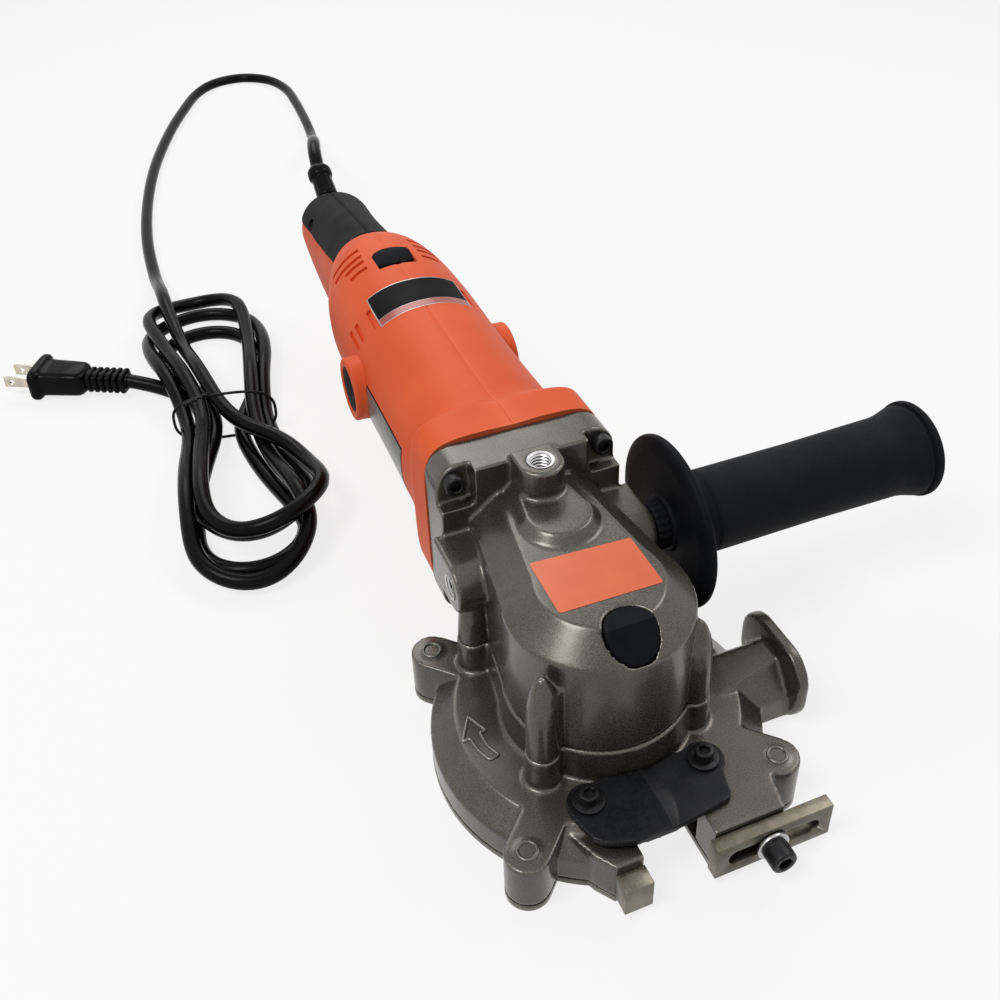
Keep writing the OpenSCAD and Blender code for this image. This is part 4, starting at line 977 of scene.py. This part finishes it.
def socketHead(radius, high, across, shank, shankRadius):
    look = screwLook
    count = look["around"]
    angles = [turn * i / count for i in range(count)]
    rows = [[(0, 0, -shank)]]

    def circle(r, h, rough=0.0):
        reach = (r, r * (1 - rough))
        rows.append([(reach[i % 2] * math.cos(a), reach[i % 2] * math.sin(a), h)
                     for i, a in enumerate(angles)])

    def hexagon(apothem, h):
        reach = [apothem / math.cos((a % (turn / 6)) - turn / 12) for a in angles]
        rows.append([(r * math.cos(a), r * math.sin(a), h) for r, a in zip(reach, angles)])

    thin, taper = look["tip"]
    circle(shankRadius * thin, -shank)
    circle(shankRadius, -shank + taper)
    circle(shankRadius, 0)
    for r, h, knurled in look["head"]:
        circle(radius * r, high * h, look["knurl"] * knurled)
    half = across * 0.5
    wide, lead, straight = look["socketLead"]
    floor, point = look["socketFloor"]
    circle(half * look["socketRim"], high)
    hexagon(half * wide, high - lead)
    hexagon(half, high - straight)
    hexagon(half, high * floor)
    rows.append([(0, 0, high * point)])
    bm = bmesh.new()
    stackRings(bm, rows)
    return bm


def makeScrews():
    look = screwLook
    half = look["flangeHalf"]
    for name, size, node, spots in [
            ("flapScrews", "flap", "flap_screws",
             [upright(s * look["flapX"], look["flapY"], look["flapTop"]) for s in (-1, 1)]),
            ("flangeScrews", "flange", "flange_screws",
             [alongY(sx * half, look["seatY"], bodyLook["motorZ"] + sz * half, -1)
              for sx in (-1, 1) for sz in (-1, 1)]),
            ("stopBolt", "stop", "stop_bolt", [alongY(*look["stopAt"], -1)])]:
        piece = repeatPart(name, socketHead(*look[size]), spots, "blackSteel")
        place(piece, "black_steel", node)
    for name, node, width, slot, body in [
            ("flapWashers", "flap_washers", 0.25, "black_steel", "frame"),
            ("stopWasher", "stop_washer", 0.3, "bright_steel", "frame"),
            ("stopBar", "stop_bar", 0.45, "zinc_steel", "stop"),
            ("fixedStop", "fixed_stop", 0.6, "zinc_steel", "frame"),
            ("brushCaps", "brush_caps", 0.5, "black_plastic", "frame"),
            ("baseCover", "base_cover", 0.4, "cast_aluminium", "frame")]:
        place(bevelCopy(name, node, width, slotFinish[slot]), slot, node, body=body)


makeScrews()
print("screws and stops made")

# chip flap with its crease
flapLook = {
    "ridge": -0.6, "front": -64, "back": -37, "facet": 5.0, "drop": 1.3, "skin": 23.9, "fade": 1.2,
    "left": 24, "least": 0.8, "sink": 0.35, "voxel": 0.5, "rounds": 4, "most": 90000}


def makeFlap():
    look = flapLook
    piece = castCopy("chipFlap", "chip_flap", look["voxel"], look["rounds"], "flap", look["most"])
    for v in piece.data.vertices:
        x, y, z = v.co / mm
        if z < look["skin"]:
            continue
        # left half rises to the ridge, then a facet falls to the right half
        along = min(1, max(0, (look["back"] - y) / (look["back"] - look["front"])))
        wide = look["least"] + look["facet"] * 4 * along * (1 - along)
        past = x - look["ridge"]
        rise = max(0, 1 + past / look["left"] if past < 0 else 1 - past / wide)
        v.co.z += (rise * look["drop"] - look["sink"]) * mm * min(1, (z - look["skin"]) / look["fade"])
    shadeSmooth(piece)
    place(piece, "black_plastic", "chip_flap")


makeFlap()

# side handle: flared grip, round guard, ribbed collar
handleLook = {
    "y": 42.6, "z": 62.4, "face": 42.7, "gripFrom": 12, "guardFrom": 0.5,
    "grip": [(0, 0), (16, 0), (16.8, 2), (16.8, 12), (17.6, 13.5), (17.4, 60.5), (18, 104), (18.6, 108),
        (20.4, 114.4), (20.4, 115.6), (19.6, 116.1), (19.6, 116.7), (21.4, 117.2), (21.6, 118), (21.6, 119.6),
        (20.8, 120.6), (19.4, 120.6), (18.6, 118.6), (9, 119.4), (7.5, 120.8), (0, 121)],
    "guard": [(4.3, 5.6), (12, 5.8), (12, 7.2), (30, 6.6), (34.1, 7), (36.5, 8), (37.1, 9.2), (36.8, 11),
        (35.1, 11.2), (32.6, 10.2), (20, 10.6), (18.5, 11.4), (4.3, 11.4)],
    "collar": [(4.3, 0), (9.4, 0), (10.4, 0.8), (10.4, 5.6), (9.6, 6.4), (4.3, 6.4)], "collarRibs": 20,
    "collarDeep": 0.55, "collarFrom": 9.5, "gripRound": 0.8, "gripStep": 3, "gripAround": 96,
    "guardRound": 0.9, "guardAround": 112, "collarRound": 0.5, "collarAround": 120}


def makeHandle():
    look = handleLook

    def ripple(r, h, a):
        wave = (0.5 + 0.5 * math.cos(a * look["collarRibs"])) ** 2
        return r - look["collarDeep"] * wave if r > look["collarFrom"] else r

    spot = alongX(look["face"] + look["gripFrom"], look["y"], look["z"])
    profile = splitProfile(roundCorners(look["grip"], look["gripRound"], closed=False), look["gripStep"])
    grip = turnedPiece("sideGrip", profile, spot, look["gripAround"], "grip")
    place(grip, "black_plastic", "side_handle_grip")
    spot = alongX(look["face"] + look["guardFrom"], look["y"], look["z"])
    guard = turnedPiece("handGuard", roundCorners(look["guard"], look["guardRound"], 3), spot,
                        look["guardAround"], "black", closed=True)
    place(guard, "black_plastic", "hand_guard")
    collar = turnedPiece("guardCollar", roundCorners(look["collar"], look["collarRound"], 2), spot,
                         look["collarAround"], "black", closed=True, ripple=ripple)
    place(collar, "black_plastic")


makeHandle()
print("handle made")


# threads in the two open handle holes
threadLook = {
    "turns": 7, "pitch": 1.5, "deep": 10.5, "around": 48, "top": (0, 52.3, 103.9),
    "turn": [(4.3, -0.1), (4.3, 0.0), (3.75, 0.5), (3.75, 0.62), (4.3, 1.12)],
    "mouth": [(4.3, 0.0), (4.9, 0.25), (5.4, 0.28), (5.4, -0.4), (4.8, -0.8), (4.8, -11), (4.3, -11)]}


def makeThreads():
    look = threadLook
    profile = [(r, k * look["pitch"] - look["deep"] + h)
               for k in range(look["turns"]) for r, h in look["turn"]]
    profile += look["mouth"]
    bm = bmesh.new()
    left = -handleLook["face"], handleLook["y"], handleLook["z"]
    for spot in (upright(*look["top"]), alongX(*left, -1)):
        turned(bm, profile, spot, look["around"], closed=True)
    place(solidPiece("holeThreads", bm, "steel", 30), "bright_steel")


makeThreads()

# moving buttons; the knob's values stand with its outline
lockLook = {"voxel": 0.3, "rounds": 5, "most": 60000}


def makeButtons():
    look = lockLook
    lockPiece = castCopy("lockButton", "lock_button", look["voxel"], look["rounds"], "black", look["most"])
    place(lockPiece, "black_plastic", "lock_button", body="lock")
    look = knobLook
    half = look["half"] - look["clear"]
    outline = [(-half, look["shows"]), (half, look["shows"])]
    outline += [p for p in knobOutline(look["clear"]) if p[1] > look["shows"] + look["showsPast"]]
    bm = bmesh.new()
    slab(bm, roundCorners(outline, look["corner"], 3), look["low"], look["top"] - look["topTrim"])
    for half, front, back, low, high in (look["slider"], look["stem"]):
        slab(bm, [(-half, front), (half, front), (half, back), (-half, back)], low, high)
    for v in bm.verts:
        if v.co.z > (look["low"] + look["slopeAbove"]) * mm:
            v.co.z -= max(0, look["slopeFrom"] * mm - v.co.y) * look["slope"]
    fixFacing(bm)
    piece = fromBm("switchKnob", bm, "black")
    finishEdges(piece, look["edge"], 3)
    place(piece, "black_plastic", "switch_knob", body="switch")


makeButtons()
print("buttons made")

# floor, light and background
stageLook = {
    "floor": 0.86, "size": 24.0, "drop": 0.3, "white": 0.8, "world": 0.17, "aim": (0.02, 0.13, 0.05),
    "lamps": [((-0.7, -0.15, 1.25), 0.6, 10.5), ((0.85, 0.25, 1.0), 0.6, 4), ((0.1, 1.2, 1.0), 0.8, 4.8)]}


def seenRays(tree):
    # 1 for what is seen straight on, in a reflection or through glass
    path = addNode(tree, "ShaderNodeLightPath").outputs
    seen = addNode(tree, "ShaderNodeMath", {0: path["Is Camera Ray"], 1: path["Is Glossy Ray"]},
                   operation="MAXIMUM")
    return addNode(tree, "ShaderNodeMath", {0: seen.outputs[0], 1: path["Is Transmission Ray"]},
                   operation="MAXIMUM").outputs[0]


def mixInto(tree, kind, share, first, second):
    mix = addNode(tree, "ShaderNodeMixShader", {0: share, 1: first.outputs[0], 2: second.outputs[0]})
    addNode(tree, kind, {"Surface": mix.outputs[0]})


def makeStage():
    look = stageLook
    white = (1, 1, 1, 1)
    finishes["floor"] = bpy.data.materials.new("paleFloor")
    finishes["floor"].use_nodes = True
    tree = finishes["floor"].node_tree
    tree.nodes.clear()
    share = addNode(tree, "ShaderNodeMath", {0: seenRays(tree), 1: look["white"]}, operation="MULTIPLY")
    plain = addNode(tree, "ShaderNodeBsdfDiffuse", {"Color": (look["floor"],) * 3 + (1,)})
    glow = addNode(tree, "ShaderNodeEmission", {"Color": white, "Strength": 1.0})
    mixInto(tree, "ShaderNodeOutputMaterial", share.outputs[0], plain, glow)
    bm = bmesh.new()
    bmesh.ops.create_grid(bm, x_segments=4, y_segments=4, size=look["size"] / 2)
    bmesh.ops.translate(bm, verts=bm.verts, vec=(0, 0, -look["drop"] * mm))
    fromBm("floor", bm, "floor")
    scene.world = bpy.data.worlds.new("studio")
    scene.world.use_nodes = True
    tree = scene.world.node_tree
    tree.nodes.clear()
    dim = addNode(tree, "ShaderNodeBackground", {"Color": white, "Strength": look["world"]})
    bright = addNode(tree, "ShaderNodeBackground", {"Color": white, "Strength": 1.0})
    mixInto(tree, "ShaderNodeOutputWorld", seenRays(tree), dim, bright)
    aim = Vector(look["aim"])
    for k, (spot, size, power) in enumerate(look["lamps"]):
        data = bpy.data.lights.new("softLamp%d" % k, "AREA")
        data.shape = "DISK"
        data.size = size
        data.energy = power
        lamp = bpy.data.objects.new("softLamp%d" % k, data)
        lamp.location = spot
        lamp.rotation_euler = (aim - Vector(spot)).to_track_quat("-Z", "Y").to_euler()
        scene.collection.objects.link(lamp)


makeStage()
print("stage made")
